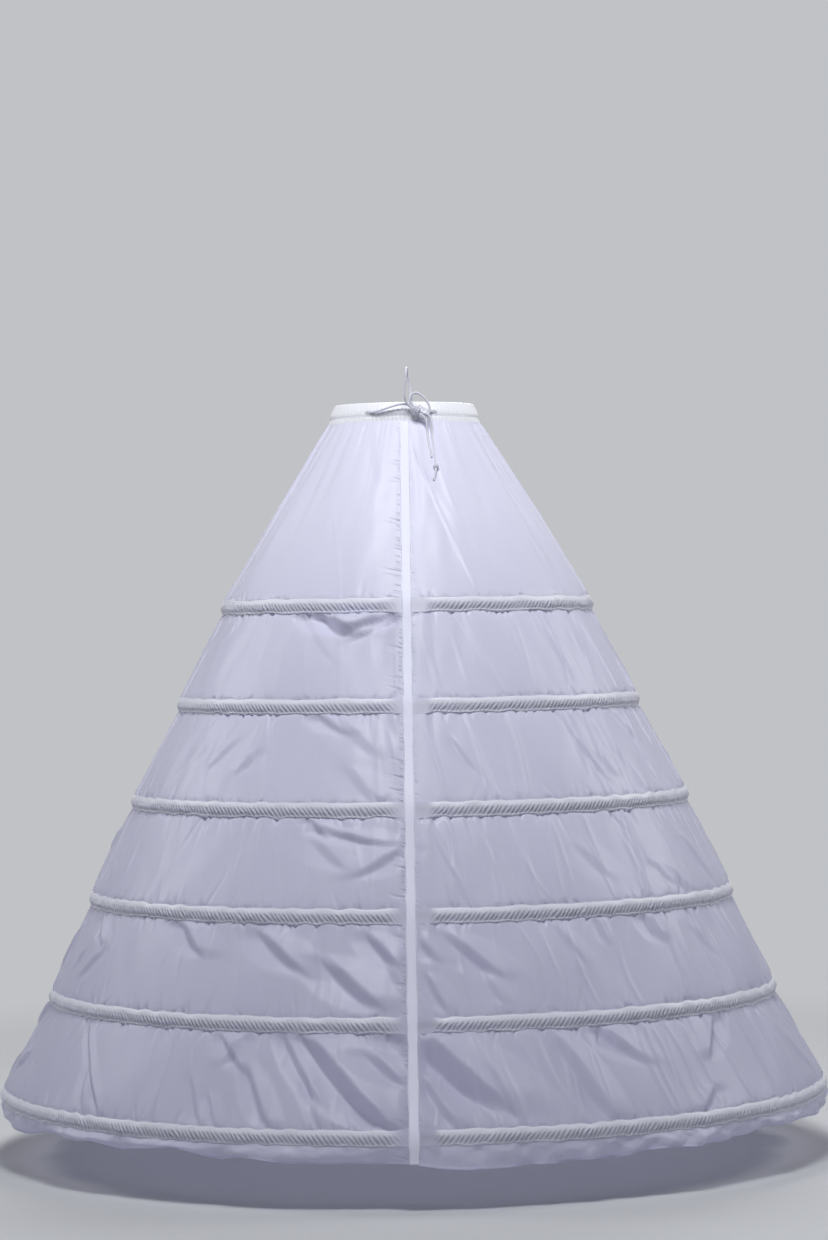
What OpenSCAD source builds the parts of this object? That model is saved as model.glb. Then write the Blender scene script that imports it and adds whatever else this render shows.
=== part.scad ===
// Six-hoop crinoline petticoat: a flared cloth skirt that hangs from a drawstring waistband and is
// held open by six sprung hoops, each in a casing formed by a tape sewn to the inside of the cloth.
// Units are millimetres. +Z is up, +Y is the wearer's front and +X the wearer's right.
// The origin is the middle of the waist opening, level with the waistband's top edge.

/* [Waist] */
// Width of the waistband's mid-line at its top edge, side to side
waist_w = 200; // [180:1:260]
// Depth of the waistband's mid-line at its top edge, back to front
waist_d = 168; // [150:1:230]
// Height of the waistband
band_h = 32; // [28:1:44]
// How far the waistband spreads on each side from its top edge to its bottom edge
band_flare = 10; // [6:1:14]
// How far the skirt's top edge is tucked up into the waistband
tuck_h = 8; // [5:1:10]
// How far each gather of the waistband stands out
gather_depth = 1.4; // [0.8:0.1:2]

/* [Hoops] */
// Diameter over the first hoop, counted from the waist
hoop_1_d = 540; // [500:1:580]
// Diameter over the second hoop
hoop_2_d = 672; // [630:1:710]
// Diameter over the third hoop
hoop_3_d = 811; // [760:1:840]
// Diameter over the fourth hoop
hoop_4_d = 936; // [890:1:970]
// Diameter over the fifth hoop
hoop_5_d = 1057; // [1020:1:1100]
// Diameter over the sixth hoop, at the hem
hoop_6_d = 1200; // [1150:1:1250]
// Drop from the waistband's top edge to the first hoop
first_drop = 294; // [250:1:340]
// Drop from one hoop to the next
hoop_drop = 140; // [120:1:160]
// Height of the boning strip that a hoop is bent from
bone_h = 7; // [5:0.5:9]
// Thickness of the boning strip
bone_t = 2.6; // [1.6:0.1:3.2]
// Gap between the two ends of a hoop, inside their clip
bone_gap = 2; // [1:0.5:4]
// Length of the clip that joins a hoop's two ends
clip_l = 34; // [24:1:44]
// Wall of the clip
clip_t = 0.6; // [0.4:0.1:0.8]

/* [Cloth] */
// Thickness of the skirt's cloth
cloth_t = 0.8; // [0.6:0.1:1.1]
// Thickness of the casing tape
tape_t = 0.8; // [0.6:0.1:1.2]
// Height of a casing between its two rows of stitches
casing_h = 20; // [14:1:26]
// Depth of the soft folds between two hoops
fold_depth = 4; // [0:0.5:6]
// Drop of the loose hem below the last row of stitches
hem_drop = 30; // [20:1:45]
// How far the hem's edge waves in and out
hem_wave = 7; // [0:0.5:10]
// How far the hem's edge rises and falls
hem_rise = 5; // [0:0.5:8]
// Width of the binding over the back seam
binding_w = 12; // [8:0.5:14]

/* [Drawstring] */
// Diameter of the drawstring
cord_d = 3.4; // [2.6:0.1:3.6]
// Distance of the drawstring's run below the waistband's top edge
cord_drop = 15; // [13:0.5:17]
// Length of the buttonhole that each end of the drawstring comes out of
buttonhole_l = 20; // [18:1:24]
// Height of the buttonhole
buttonhole_h = 5.4; // [5:0.1:7]

/* [Hidden] */

// Steps around the skirt, counted from the back seam towards the wearer's right; four gores share them
around = 72;
gore_steps = around / 4;
// Clearance of a piece that rests against another
seat = 0.3;
// Clearance of a clip around its hoop
clip_slip = 0.15;
// Roundness of the hoops, tapes and clips
ring_fn = 240;

hoop_d = [hoop_1_d, hoop_2_d, hoop_3_d, hoop_4_d, hoop_5_d, hoop_6_d];
hoops = len(hoop_d);
last = hoops - 1;

cloth_white = [0.87, 0.87, 0.94];
tape_white = [0.93, 0.93, 0.97];
bone_white = [0.90, 0.90, 0.88];
clip_silver = [0.72, 0.73, 0.75];
cord_white = [0.95, 0.95, 0.98];

// Level of hoop k
function hoop_z(k) = -(first_drop + k * hoop_drop);
// How far the middle of a facet lies inside a circle of radius r
function sag(r) = r * (1 - cos(180 / around));
// Angle that a length takes up on hoop k
function hoop_angle(k, length) = length / (hoop_d[k] / 2) * 180 / PI;
// Bevel along the boning strip's edges
bone_chamfer = bone_t / 4;
// How far up the casing's slope the boning strip reaches, and the clip where it runs on past the opening
bone_reach = (bone_h / 2 - bone_chamfer) / (casing_h / 2);
clip_overrun = max(0, (hoop_angle(0, clip_l) - angle(1)) / (2 * angle(1)));
clip_reach = clip_overrun * (bone_h / 2 + clip_slip + clip_t) / (casing_h / 2);
// Room between a hoop and the cloth over it, so that neither the strip nor the clip touches the slopes
hoop_room = max(
    (seat + bone_t * bone_reach) / (1 - bone_reach),
    (clip_slip + clip_t + 2 * seat + bone_t * clip_reach) / (1 - clip_reach)
);
// Outer radius of the tape behind hoop k, and mid-surface radii of the cloth at its stitches and over it
function tape_r(k) = hoop_d[k] / 2 - bone_t - seat;
function stitch_r(k) = (tape_r(k) + seat) / cos(180 / around) + cloth_t / 2;
function crest_r(k) = (hoop_d[k] / 2 + hoop_room) / cos(180 / around) + cloth_t / 2;

// Half-axes of the waistband's mid-line at level z
function band_axes(z) = [waist_w / 2, waist_d / 2] + [1, 1] * band_flare * (-z / band_h);

// A row of the skirt: half-axes, level, and how strongly stitches, gathers, folds and hem waves act there
function row(axes, z, stitch = 0, gather = 0, fold = 0, hem = 0) = [axes, z, stitch, gather, fold, hem];
function blend_axes(p, q, t) = p * (1 - t) + q * t;

// The upper skirt, from the edge inside the waistband to the first casing
yoke_top = -band_h;
yoke_end = hoop_z(0) + casing_h / 2;
function yoke_row(t, gather, fold) =
    row(blend_axes(band_axes(yoke_top), [1, 1] * crest_r(0), t), yoke_top + t * (yoke_end - yoke_top),
        stitch = 0, gather = gather, fold = fold);
yoke_rows = [
    row(band_axes(yoke_top + tuck_h), yoke_top + tuck_h),
    row(band_axes(yoke_top), yoke_top),
    yoke_row(0.04, gather = 1, fold = 0),
    yoke_row(0.16, gather = 0.6, fold = 0.2),
    yoke_row(0.55, gather = 0, fold = 0.7)
];

// A casing: its upper stitches, the crest over the hoop and its lower stitches
function casing_rows(k) = [
    row([1, 1] * crest_r(k), hoop_z(k) + casing_h / 2, stitch = crest_r(k) - stitch_r(k)),
    row([1, 1] * crest_r(k), hoop_z(k)),
    row([1, 1] * crest_r(k), hoop_z(k) - casing_h / 2, stitch = crest_r(k) - stitch_r(k))
];
// The slack middle of the tier below hoop k
function tier_row(k) =
    row([1, 1] * (crest_r(k) + crest_r(k + 1)) / 2, (hoop_z(k) + hoop_z(k + 1)) / 2, fold = 1);

// The hem hangs from the last casing
hem_top = hoop_z(last) - casing_h / 2;
hem_rows = [
    row([1, 1] * crest_r(last), hem_top - hem_drop * 0.4, hem = 0.4),
    row([1, 1] * (crest_r(last) - 1), hem_top - hem_drop, hem = 1)
];

skirt_rows = concat(
    yoke_rows,
    [for (k = [0:last], r = k < last ? concat(casing_rows(k), [tier_row(k)]) : casing_rows(k)) r],
    hem_rows
);

// Position of step i around the skirt
function angle(i) = i * 360 / around;
// The stitches stop beside the back seam, where the hoops are put in
casing_opening = 2;
function near_seam(i) = min(i % around, around - i % around) < 2;
function stitched(i) = i % around < casing_opening ? 0 : 1;
function zigzag(i) = near_seam(i) ? 0 : i % 2 == 0 ? 1 : -1;
function slack(i, z) = near_seam(i) ? 0 : sin(9 * angle(i) + z) * 0.6 + sin(14 * angle(i) - 2 * z) * 0.4;
function ripple(i) = sin(13 * angle(i)) * 0.6 + sin(20 * angle(i) + 50) * 0.4;

// A point of the skirt's cloth: row r, step i, and its distance out from the mid-surface
function skirt_point(r, i, out) =
    let (
        push = out - r[2] * stitched(i) + r[3] * gather_depth * zigzag(i)
            + r[4] * fold_depth * slack(i, r[1]) + r[5] * hem_wave * ripple(i),
        rise = r[5] * hem_rise * ripple(i + 1)
    )
    [(r[0][0] + push) * sin(angle(i)), -(r[0][1] + push) * cos(angle(i)), r[1] + rise];

// Two triangles for a four-sided patch
function patch(a, b, c, d) = [[a, b, c], [a, c, d]];

// One gore: a sheet of cloth over a quarter of the skirt, from the waistband to the hem
module gore(quarter) {
    first = quarter * gore_steps;
    across = gore_steps + 1;
    down = len(skirt_rows);
    points = [
        for (out = [cloth_t / 2, -cloth_t / 2], r = skirt_rows, i = [first:first + gore_steps]) skirt_point(r, i, out)
    ];
    inner = across * down;
    function at(j, i) = j * across + i;
    outside = [
        for (j = [0:down - 2], i = [0:gore_steps - 1])
            each patch(at(j, i), at(j, i + 1), at(j + 1, i + 1), at(j + 1, i))
    ];
    inside = [for (t = outside) [t[0] + inner, t[2] + inner, t[1] + inner]];
    rim = [
        for (i = [0:gore_steps - 1])
            each concat(
                patch(at(0, i) + inner, at(0, i + 1) + inner, at(0, i + 1), at(0, i)),
                patch(at(down - 1, i), at(down - 1, i + 1), at(down - 1, i + 1) + inner, at(down - 1, i) + inner)
            )
    ];
    sides = [
        for (j = [0:down - 2])
            each concat(
                patch(at(j, 0) + inner, at(j, 0), at(j + 1, 0), at(j + 1, 0) + inner),
                patch(at(j, gore_steps), at(j, gore_steps) + inner,
                      at(j + 1, gore_steps) + inner, at(j + 1, gore_steps))
            )
    ];
    color(cloth_white) polyhedron(points, concat(outside, inside, rim, sides));
}

// The binding over the back seam, from the waistband to the hem
module back_seam_binding() {
    // The skirt's rows below the waistband, without the pull of the casings' stitches
    bound_rows = [for (j = [1:len(skirt_rows) - 1]) let (r = skirt_rows[j]) row(r[0], r[1], 0, r[3], r[4], r[5])];
    down = len(bound_rows);
    // A point half the binding's width from the seam, towards step i
    function edge_point(r, i, out) =
        let (
            seam = skirt_point(r, 0, cloth_t / 2),
            beside = skirt_point(r, i, cloth_t / 2),
            p = seam + (beside - seam) * (binding_w / 2) / norm(beside - seam)
        )
        p - [0, out, 0];
    function seam_point(r, out) = skirt_point(r, 0, cloth_t / 2) - [0, out, 0];
    points = [
        for (out = [2 * seat + cloth_t, 2 * seat], r = bound_rows, side = [0:2])
            side == 0 ? edge_point(r, around - 1, out) : side == 1 ? seam_point(r, out) : edge_point(r, 1, out)
    ];
    inner = 3 * down;
    outside = [
        for (j = [0:down - 2], i = [0:1])
            each patch(3 * j + i, 3 * j + i + 1, 3 * (j + 1) + i + 1, 3 * (j + 1) + i)
    ];
    inside = [for (t = outside) [t[0] + inner, t[2] + inner, t[1] + inner]];
    ends = [
        for (i = [0:1])
            each concat(
                patch(i + inner, i + 1 + inner, i + 1, i),
                patch(3 * (down - 1) + i, 3 * (down - 1) + i + 1,
                      3 * (down - 1) + i + 1 + inner, 3 * (down - 1) + i + inner)
            )
    ];
    sides = [
        for (j = [0:down - 2])
            each concat(
                patch(3 * j + inner, 3 * j, 3 * (j + 1), 3 * (j + 1) + inner),
                patch(3 * j + 2, 3 * j + 2 + inner, 3 * (j + 1) + 2 + inner, 3 * (j + 1) + 2)
            )
    ];
    color(tape_white) polyhedron(points, concat(outside, inside, ends, sides));
}

// Half the room inside the waistband at the drawstring, and where it is sewn to the skirt
channel = cord_d / 2 + 2 * seat;
sewn_gap = cloth_t / 2 + seat / 2;

// The waistband's section, folded over at the top and open at the bottom, where it takes the skirt's edge.
// Each corner is its distance out from the mid-line, its level, and how far the gathers push it.
band_section = [
    [sewn_gap + cloth_t, -band_h, 1],
    [sewn_gap, -band_h, 0],
    [channel, -cord_drop, 0],
    [0, -cloth_t * 2, 0],
    [-channel, -cord_drop, 0],
    [-sewn_gap, -band_h, 0],
    [-sewn_gap - cloth_t, -band_h, 0],
    [-channel - cloth_t, -cord_drop, 0],
    [-channel / 2, 0, 0],
    [channel / 2, 0, 0.4],
    [channel + cloth_t, -cord_drop, 1]
];

function band_point(corner, i) =
    let (
        axes = band_axes(corner[1]),
        out = corner[0] + corner[2] * gather_depth * (i % 2)
    )
    [(axes[0] + out) * sin(angle(i)), -(axes[1] + out) * cos(angle(i)), corner[1]];

// The gathered band before its buttonholes are cut
module gathered_band() {
    corners = len(band_section);
    points = [for (i = [0:around - 1], c = band_section) band_point(c, i)];
    faces = [
        for (i = [0:around - 1], c = [0:corners - 1])
            let (next = (i + 1) % around, d = (c + 1) % corners)
            each patch(i * corners + c, i * corners + d, next * corners + d, next * corners + c)
    ];
    polyhedron(points, faces);
}

// Steps around the band at which the drawstring leaves its channel, to the wearer's right and left
right_exit = 6;
left_exit = around - 7;
// Middle of the waistband's channel at step i
function channel_point(i) =
    let (axes = band_axes(-cord_drop)) [axes[0] * sin(angle(i)), -axes[1] * cos(angle(i)), -cord_drop];

// A buttonhole in the outer layer: it starts at step i and runs towards the back seam on the given side
module buttonhole(i, side) {
    start = channel_point(i);
    end = channel_point(i - side);
    along = atan2(end[1] - start[1], end[0] - start[0]);
    depth = channel + cloth_t + gather_depth + cord_d;
    translate(start)
        rotate([0, 0, along])
        translate([0, side > 0 ? 0 : -depth, -buttonhole_h / 2])
        cube([buttonhole_l, depth, buttonhole_h]);
}

module waistband() {
    color(tape_white)
    difference() {
        gathered_band();
        buttonhole(right_exit, 1);
        buttonhole(left_exit, -1);
    }
}

// A ring's section turned round the skirt's axis, between two angles from the back seam
module ring(from, to) {
    rotate([0, 0, from - 90]) rotate_extrude(angle = to - from, $fn = ring_fn) children();
}

// The hoops' ends meet in the middle of the casing's opening, beside the back seam
joint_angle = angle(1) / 2;

module hoop(k) {
    half_gap = hoop_angle(k, bone_gap) / 2;
    r = hoop_d[k] / 2;
    color(bone_white)
    translate([0, 0, hoop_z(k)])
    ring(joint_angle + half_gap, joint_angle + 360 - half_gap)
        polygon([
            [r - bone_t + bone_chamfer, -bone_h / 2], [r - bone_chamfer, -bone_h / 2],
            [r, -bone_h / 2 + bone_chamfer], [r, bone_h / 2 - bone_chamfer],
            [r - bone_chamfer, bone_h / 2], [r - bone_t + bone_chamfer, bone_h / 2],
            [r - bone_t, bone_h / 2 - bone_chamfer], [r - bone_t, -bone_h / 2 + bone_chamfer]
        ]);
}

// The clip is a flattened sleeve over both ends of a hoop
module hoop_clip(k) {
    half = hoop_angle(k, clip_l) / 2;
    bore = [bone_t + 2 * clip_slip, bone_h + 2 * clip_slip];
    shell = bore + [2, 2] * clip_t;
    color(clip_silver)
    translate([0, 0, hoop_z(k)])
    ring(joint_angle - half, joint_angle + half)
        translate([hoop_d[k] / 2 - bone_t / 2, 0])
        difference() {
            square(shell, center = true);
            square(bore, center = true);
        }
}

// The tape sewn behind hoop k, open beside the back seam
module casing_tape(k) {
    color(tape_white)
    translate([0, 0, hoop_z(k)])
    ring(angle(casing_opening), 360 - angle(1) / 2)
        translate([tape_r(k) - tape_t, -casing_h / 2])
        square([tape_t, casing_h]);
}

// Sides of the drawstring's tube
cord_sides = 8;

// A tube of the drawstring's diameter along a list of points
module cord(route) {
    n = len(route);
    up = [0, 0, 1];
    function heading(i) =
        let (d = route[min(i + 1, n - 1)] - route[max(i - 1, 0)]) d / norm(d);
    // Side vector of each ring, carried along the route without twisting
    function carried(side, d) = let (s = side - d * (side * d)) s / norm(s);
    function sides(i, side) = i == n ? [] : let (s = carried(side, heading(i))) concat([s], sides(i + 1, s));
    side = sides(0, cross(heading(0), up));
    points = [
        for (i = [0:n - 1], a = [0:cord_sides - 1])
            route[i] + cord_d / 2 * (cos(a * 360 / cord_sides) * side[i]
                + sin(a * 360 / cord_sides) * cross(heading(i), side[i]))
    ];
    walls = [
        for (i = [0:n - 2], a = [0:cord_sides - 1])
            let (b = (a + 1) % cord_sides)
            each patch(i * cord_sides + a, i * cord_sides + b, (i + 1) * cord_sides + b, (i + 1) * cord_sides + a)
    ];
    caps = [
        [for (a = [cord_sides - 1:-1:0]) a],
        [for (a = [0:cord_sides - 1]) (n - 1) * cord_sides + a]
    ];
    color(cord_white) polyhedron(points, concat(walls, caps));
}

// The run of the drawstring inside the waistband, round the wearer's front from one exit to the other
module drawstring_in_band() {
    cord(concat([for (i = [right_exit:2:left_exit - 1]) channel_point(i)], [channel_point(left_exit)]));
}

// The left end: out of its buttonhole, through the knot, round the small loop, through again, and down
left_route = [
    [-59.7, -72.9, -15], [-54.3, -76.8, -15], [-50, -81.4, -14.8], [-45.8, -86.6, -14.4],
    [-38, -91.6, -13.2], [-30, -95, -10.9], [-20.5, -97.5, -8], [-11, -99, -5.2], [-2.5, -99.7, -3.8],
    [4, -99.8, -4.6], [9.5, -99.7, -7.8], [16.5, -99.7, -13.4], [23.5, -99.7, -19],
    [30.2, -99.6, -20.8], [35.8, -99.5, -17.2], [37.2, -99.5, -10.8], [34.8, -100, -3.2], [30.4, -101, 3.2],
    [24.6, -102.4, 8.9], [17.6, -103.6, 11.9], [10.9, -104.4, 9.1], [8.2, -104.2, 2.4], [11.7, -103.3, -5],
    [18.7, -103.3, -10.6], [25.7, -103.3, -16.2], [32, -103.8, -18.8], [37, -104.2, -22.6], [39, -104.4, -29],
    [39.4, -104.5, -38], [40, -105.4, -46.6], [40.6, -109, -54.5], [41.6, -114.6, -64], [42.8, -121.4, -74],
    [44.4, -129.4, -84.6], [45, -139.4, -96], [43.4, -145.8, -106], [41, -151.4, -116]
];
// The right end: out of its buttonhole, through the knot, round the tall loop, through again, and down
right_route = [
    [52, -77, -15], [46.4, -80.4, -15], [41.6, -84.8, -14.8], [37, -89.8, -14.6], [31.8, -95, -15.6],
    [25.5, -98.8, -15.9], [18.7, -99.7, -10.6], [12.6, -99.6, -4.9], [10.6, -98.6, 2.2], [10, -97.2, 9.4],
    [9.2, -95.9, 17], [8, -95, 25], [6.8, -94.6, 32.4], [5.6, -94.7, 39.8], [4.9, -97, 45.8],
    [4.5, -103, 48.3], [4.1, -109, 45.8], [3.4, -111.5, 39.8], [2.8, -111.6, 32], [2, -111, 24.5],
    [1.2, -110, 16], [1, -108.2, 7], [3.6, -105.2, -2], [9.5, -103.3, -7.8], [16.5, -103.3, -13.4],
    [23.5, -103.3, -19], [29, -103.8, -23.4], [32.3, -104.2, -29.6], [33, -104.4, -38], [33.4, -105.2, -46.4],
    [34, -109, -54.5], [35.4, -115.2, -64], [37.4, -121.8, -73.6], [38.8, -127.8, -82.4]
];
module drawstring_left_end() { cord(left_route); }
module drawstring_right_end() { cord(right_route); }

// A turn of cord drawn tight round a line from one point towards another
module cord_turn(from, to, hole_d, thick) {
    d = to - from;
    translate(from)
        rotate([0, atan2(norm([d[0], d[1]]), d[2]), atan2(d[1], d[0])])
        color(cord_white)
        rotate_extrude($fn = 48)
        translate([(hole_d + thick) / 2, 0])
        circle(d = thick, $fn = 24);
}

// The four strands of the bow lie two by two inside the knot
bow_centre = [17.6, -101.5, -12];
bow_end = [24.6, -101.5, -17.6];
bow_hole_d = 8.8;
module bow_knot() { cord_turn(bow_centre, bow_end, bow_hole_d, cord_d); }

// The knot near the longer tail's end
tail_knot_step = 34;
tail_knot_thick = cord_d * 0.6;
module tail_knot() {
    cord_turn(left_route[tail_knot_step], left_route[tail_knot_step + 1], cord_d + seat, tail_knot_thick);
}

waistband();
gore(0);  // gore_back_right
gore(1);  // gore_front_right
gore(2);  // gore_front_left
gore(3);  // gore_back_left
back_seam_binding();
for (k = [0:last]) {
    hoop(k);
    hoop_clip(k);
    casing_tape(k);
}
drawstring_in_band();
drawstring_left_end();
drawstring_right_end();
bow_knot();
tail_knot();
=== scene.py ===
"""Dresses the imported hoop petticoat: sheer cloth, ruched casings, a gathered waistband and a tied drawstring.

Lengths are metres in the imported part's frame: +Z is up, -Y is the wearer's back, which faces the camera, and the
origin is the middle of the waist. Angles round the skirt are radians, counted from the back seam towards +X.
"""
import logging
import math
from dataclasses import dataclass, field
from enum import Enum

import bpy
import numpy as np
from bpy.types import Material, Node, NodeSocket, NodeTree, Object
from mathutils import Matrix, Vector


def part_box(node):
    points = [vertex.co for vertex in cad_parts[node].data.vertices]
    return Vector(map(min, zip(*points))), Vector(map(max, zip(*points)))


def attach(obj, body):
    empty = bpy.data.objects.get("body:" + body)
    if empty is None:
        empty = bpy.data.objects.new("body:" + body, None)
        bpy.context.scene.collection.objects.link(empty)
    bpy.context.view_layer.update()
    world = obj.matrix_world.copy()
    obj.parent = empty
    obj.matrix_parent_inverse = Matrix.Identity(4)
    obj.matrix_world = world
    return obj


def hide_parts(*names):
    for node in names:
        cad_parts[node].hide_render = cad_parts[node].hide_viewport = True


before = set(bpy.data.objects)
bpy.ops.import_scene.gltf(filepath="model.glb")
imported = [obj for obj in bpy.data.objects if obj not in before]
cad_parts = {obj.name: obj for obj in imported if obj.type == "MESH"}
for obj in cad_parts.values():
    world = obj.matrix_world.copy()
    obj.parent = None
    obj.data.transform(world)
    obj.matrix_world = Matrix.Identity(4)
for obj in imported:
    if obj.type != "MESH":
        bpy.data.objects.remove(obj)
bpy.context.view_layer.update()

LOG = logging.getLogger("petticoat")
BODY = "root"
MM = 0.001
HOOP_NUMBERS = range(1, 7)
PICTURE_HEIGHT = 1240
# How many waves are added up to smooth noise, and what their sum is divided by
WAVES, WAVES_GAIN = 9, 3.4
# The rings of a tube's closed end: how wide each is and how far out it lies, in the tube's radii
TUBE_CAP = ((0.02, 0.35), (0.75, 0.2))

Colour = tuple[float, float, float]
Point = tuple[float, float, float]
Pair = tuple[float, float]


class Slot(Enum):
    """Names of the material slots of the cloth and the cord."""

    SKIRT = "skirt_cloth"
    BAND = "band_cloth"
    CORD = "drawstring"


class Gore(Enum):
    """The four gores: node name, and first and last angle in quarter turns from the back seam."""

    BACK_RIGHT = ("gore_back_right", 0, 1)
    FRONT_RIGHT = ("gore_front_right", 1, 2)
    FRONT_LEFT = ("gore_front_left", -2, -1)
    BACK_LEFT = ("gore_back_left", -1, 0)

    @property
    def node(self) -> str:
        """The CAD node that the gore replaces."""
        return self.value[0]

    @property
    def span(self) -> Pair:
        """First and last angle in radians."""
        return self.value[1] * math.pi / 2, self.value[2] * math.pi / 2


# ---- meshes


def smoothstep(x: np.ndarray, low: float, high: float) -> np.ndarray:
    """A soft step from 0 at low to 1 at high.

    Args:
        x: Values to step.
        low: Where the step starts.
        high: Where the step ends.

    Returns:
        Values from 0 to 1.
    """
    t = np.clip((x - low) / (high - low), 0.0, 1.0)
    return t * t * (3.0 - 2.0 * t)


@dataclass
class Patch:
    """A grid of points with its own cloth coordinates, rows from top to bottom.

    Attributes:
        points: Places, shaped rows by columns by 3.
        cloth: Distance along and down the cloth, shaped rows by columns by 2.
        extra: Named numbers for each point.
        wrap: Whether the last column joins the first.
        left_out: Faces that are left out, by the point at their upper left, or None.
    """

    points: np.ndarray
    cloth: np.ndarray
    extra: dict[str, np.ndarray] = field(default_factory=dict)
    wrap: bool = False
    left_out: np.ndarray | None = None


def run_lengths(points: np.ndarray) -> np.ndarray:
    """Distances along a line of points, from its first one."""
    return np.concatenate([[0.0], np.cumsum(np.linalg.norm(np.diff(points, axis=0), axis=1))])


def round_axis(angle: np.ndarray, across: np.ndarray, deep: np.ndarray, level: np.ndarray) -> np.ndarray:
    """Points round the skirt's axis.

    Args:
        angle: Angles from the back seam.
        across: Half-axes from side to side.
        deep: Half-axes from back to front.
        level: Levels.

    Returns:
        The points, shaped as the angles with 3 added.
    """
    return np.stack([across * np.sin(angle), -deep * np.cos(angle), level], axis=-1)


def report(piece: Object) -> None:
    """Logs a finished piece."""
    LOG.info("%s: %d faces", piece.name, len(piece.data.polygons))


def mesh_from_patches(name: str, patches: list[Patch], material: Material | None = None) -> Object:
    """Joins grid patches into one smooth mesh with a UV map in metres.

    Args:
        name: Name of the object.
        patches: Grids to join, each an island of its own.
        material: Its material, unless it gets one later.

    Returns:
        The new object, linked to the scene.
    """
    verts, uvs, quads, base = [], [], [], 0
    extra: dict[str, list[np.ndarray]] = {}
    for patch in patches:
        rows, cols = patch.points.shape[:2]
        ids = np.arange(rows * cols).reshape(rows, cols) + base
        right = np.roll(ids, -1, axis=1) if patch.wrap else None
        a = ids if patch.wrap else ids[:, :-1]
        b = right if patch.wrap else ids[:, 1:]
        quad = np.stack([a[:-1], a[1:], b[1:], b[:-1]], axis=-1).reshape(-1, 4)
        quads.append(quad)
        verts.append(patch.points.reshape(-1, 3))
        flat = patch.cloth.reshape(-1, 2)
        loop_uv = flat[quad.reshape(-1) - base]
        if patch.wrap:
            step = flat[1, 0] - flat[0, 0]
            loop_uv = loop_uv.reshape(-1, 4, 2)
            last = np.tile(np.arange(cols) == cols - 1, rows - 1)
            loop_uv[last, 2:, 0] = loop_uv[last, 1:2, 0] + step
            loop_uv = loop_uv.reshape(-1, 2)
        if patch.left_out is not None:
            kept = ~patch.left_out[:-1].reshape(-1)
            quads[-1], loop_uv = quad[kept], loop_uv.reshape(-1, 4, 2)[kept].reshape(-1, 2)
        uvs.append(loop_uv)
        for key, value in patch.extra.items():
            extra.setdefault(key, []).append(value.reshape(-1))
        base += rows * cols
    used, faces = np.unique(np.concatenate(quads), return_inverse=True)
    mesh = bpy.data.meshes.new(name)
    mesh.from_pydata(np.concatenate(verts)[used].tolist(), [], faces.reshape(-1, 4).tolist())
    layer = mesh.uv_layers.new(name="cloth")
    layer.data.foreach_set("uv", np.concatenate(uvs).astype(np.float32).ravel())
    for key, value in extra.items():
        value = np.concatenate(value)[used].astype(np.float32)
        mesh.attributes.new(key, "FLOAT", "POINT").data.foreach_set("value", value)
    mesh.polygons.foreach_set("use_smooth", [True] * len(mesh.polygons))
    mesh.update()
    if material:
        mesh.materials.append(material)
    obj = bpy.data.objects.new(name, mesh)
    bpy.context.scene.collection.objects.link(obj)
    return obj


def tube_patch(path: np.ndarray, radius: float, sides: int) -> Patch:
    """A round tube along a path, with closed ends.

    Args:
        path: Centre line, shaped points by 3.
        radius: Radius of the tube.
        sides: Points around it.

    Returns:
        A wrapped patch, one row for each point and two that close each end.
    """
    tangent = np.gradient(path, axis=0)
    tangent /= np.linalg.norm(tangent, axis=1, keepdims=True)
    side = np.cross(tangent[0], (0.0, 0.0, 1.0))
    side = np.cross(tangent[0], (0.0, 1.0, 0.0)) if np.linalg.norm(side) < 0.1 else side
    angles = np.arange(sides) * 2 * math.pi / sides
    length = run_lengths(path)
    rings, cloth = [], []

    def cap(centre: np.ndarray, ring: np.ndarray, outwards: np.ndarray) -> list[np.ndarray]:
        """The rings that close an end, from the outermost one in."""
        return [centre + (ring - centre) * wide + outwards * radius * past for wide, past in TUBE_CAP]

    for i, centre in enumerate(path):
        side = side - tangent[i] * (side @ tangent[i])
        side = side / np.linalg.norm(side)
        up = np.cross(tangent[i], side)
        ring = centre + radius * (np.cos(angles)[:, None] * side - np.sin(angles)[:, None] * up)
        along = np.stack([angles * radius, np.full(sides, length[i])], axis=1)
        if i == 0:
            rings += cap(centre, ring, -tangent[i])
            cloth += [along] * len(TUBE_CAP)
        rings.append(ring)
        cloth.append(along)
        if i == len(path) - 1:
            rings += cap(centre, ring, tangent[i])[::-1]
            cloth += [along] * len(TUBE_CAP)
    return Patch(np.array(rings), np.array(cloth), wrap=True)


def smooth_route(points: tuple[Point, ...], steps: int, passes: int) -> np.ndarray:
    """A smooth line through route points given in millimetres.

    Args:
        points: Given points of the route.
        steps: Points made between two route points.
        passes: How often the line is relaxed, which opens its tightest bends.

    Returns:
        The line in metres.
    """
    p = np.array(points) * MM
    p = np.vstack([2 * p[0] - p[1], p, 2 * p[-1] - p[-2]])
    t = np.linspace(0.0, 1.0, steps, endpoint=False)[:, None]
    line = [
        0.5 * (2 * b + (c - a) * t + (2 * a - 5 * b + 4 * c - d) * t ** 2 + (3 * b - a - 3 * c + d) * t ** 3)
        for a, b, c, d in zip(p[:-3], p[1:-2], p[2:-1], p[3:])
    ]
    line = np.vstack([*line, p[-2:-1]])
    for _ in range(passes):
        line[1:-1] += 0.5 * ((line[:-2] + line[2:]) / 2 - line[1:-1])
    return line


# ---- node trees


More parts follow.
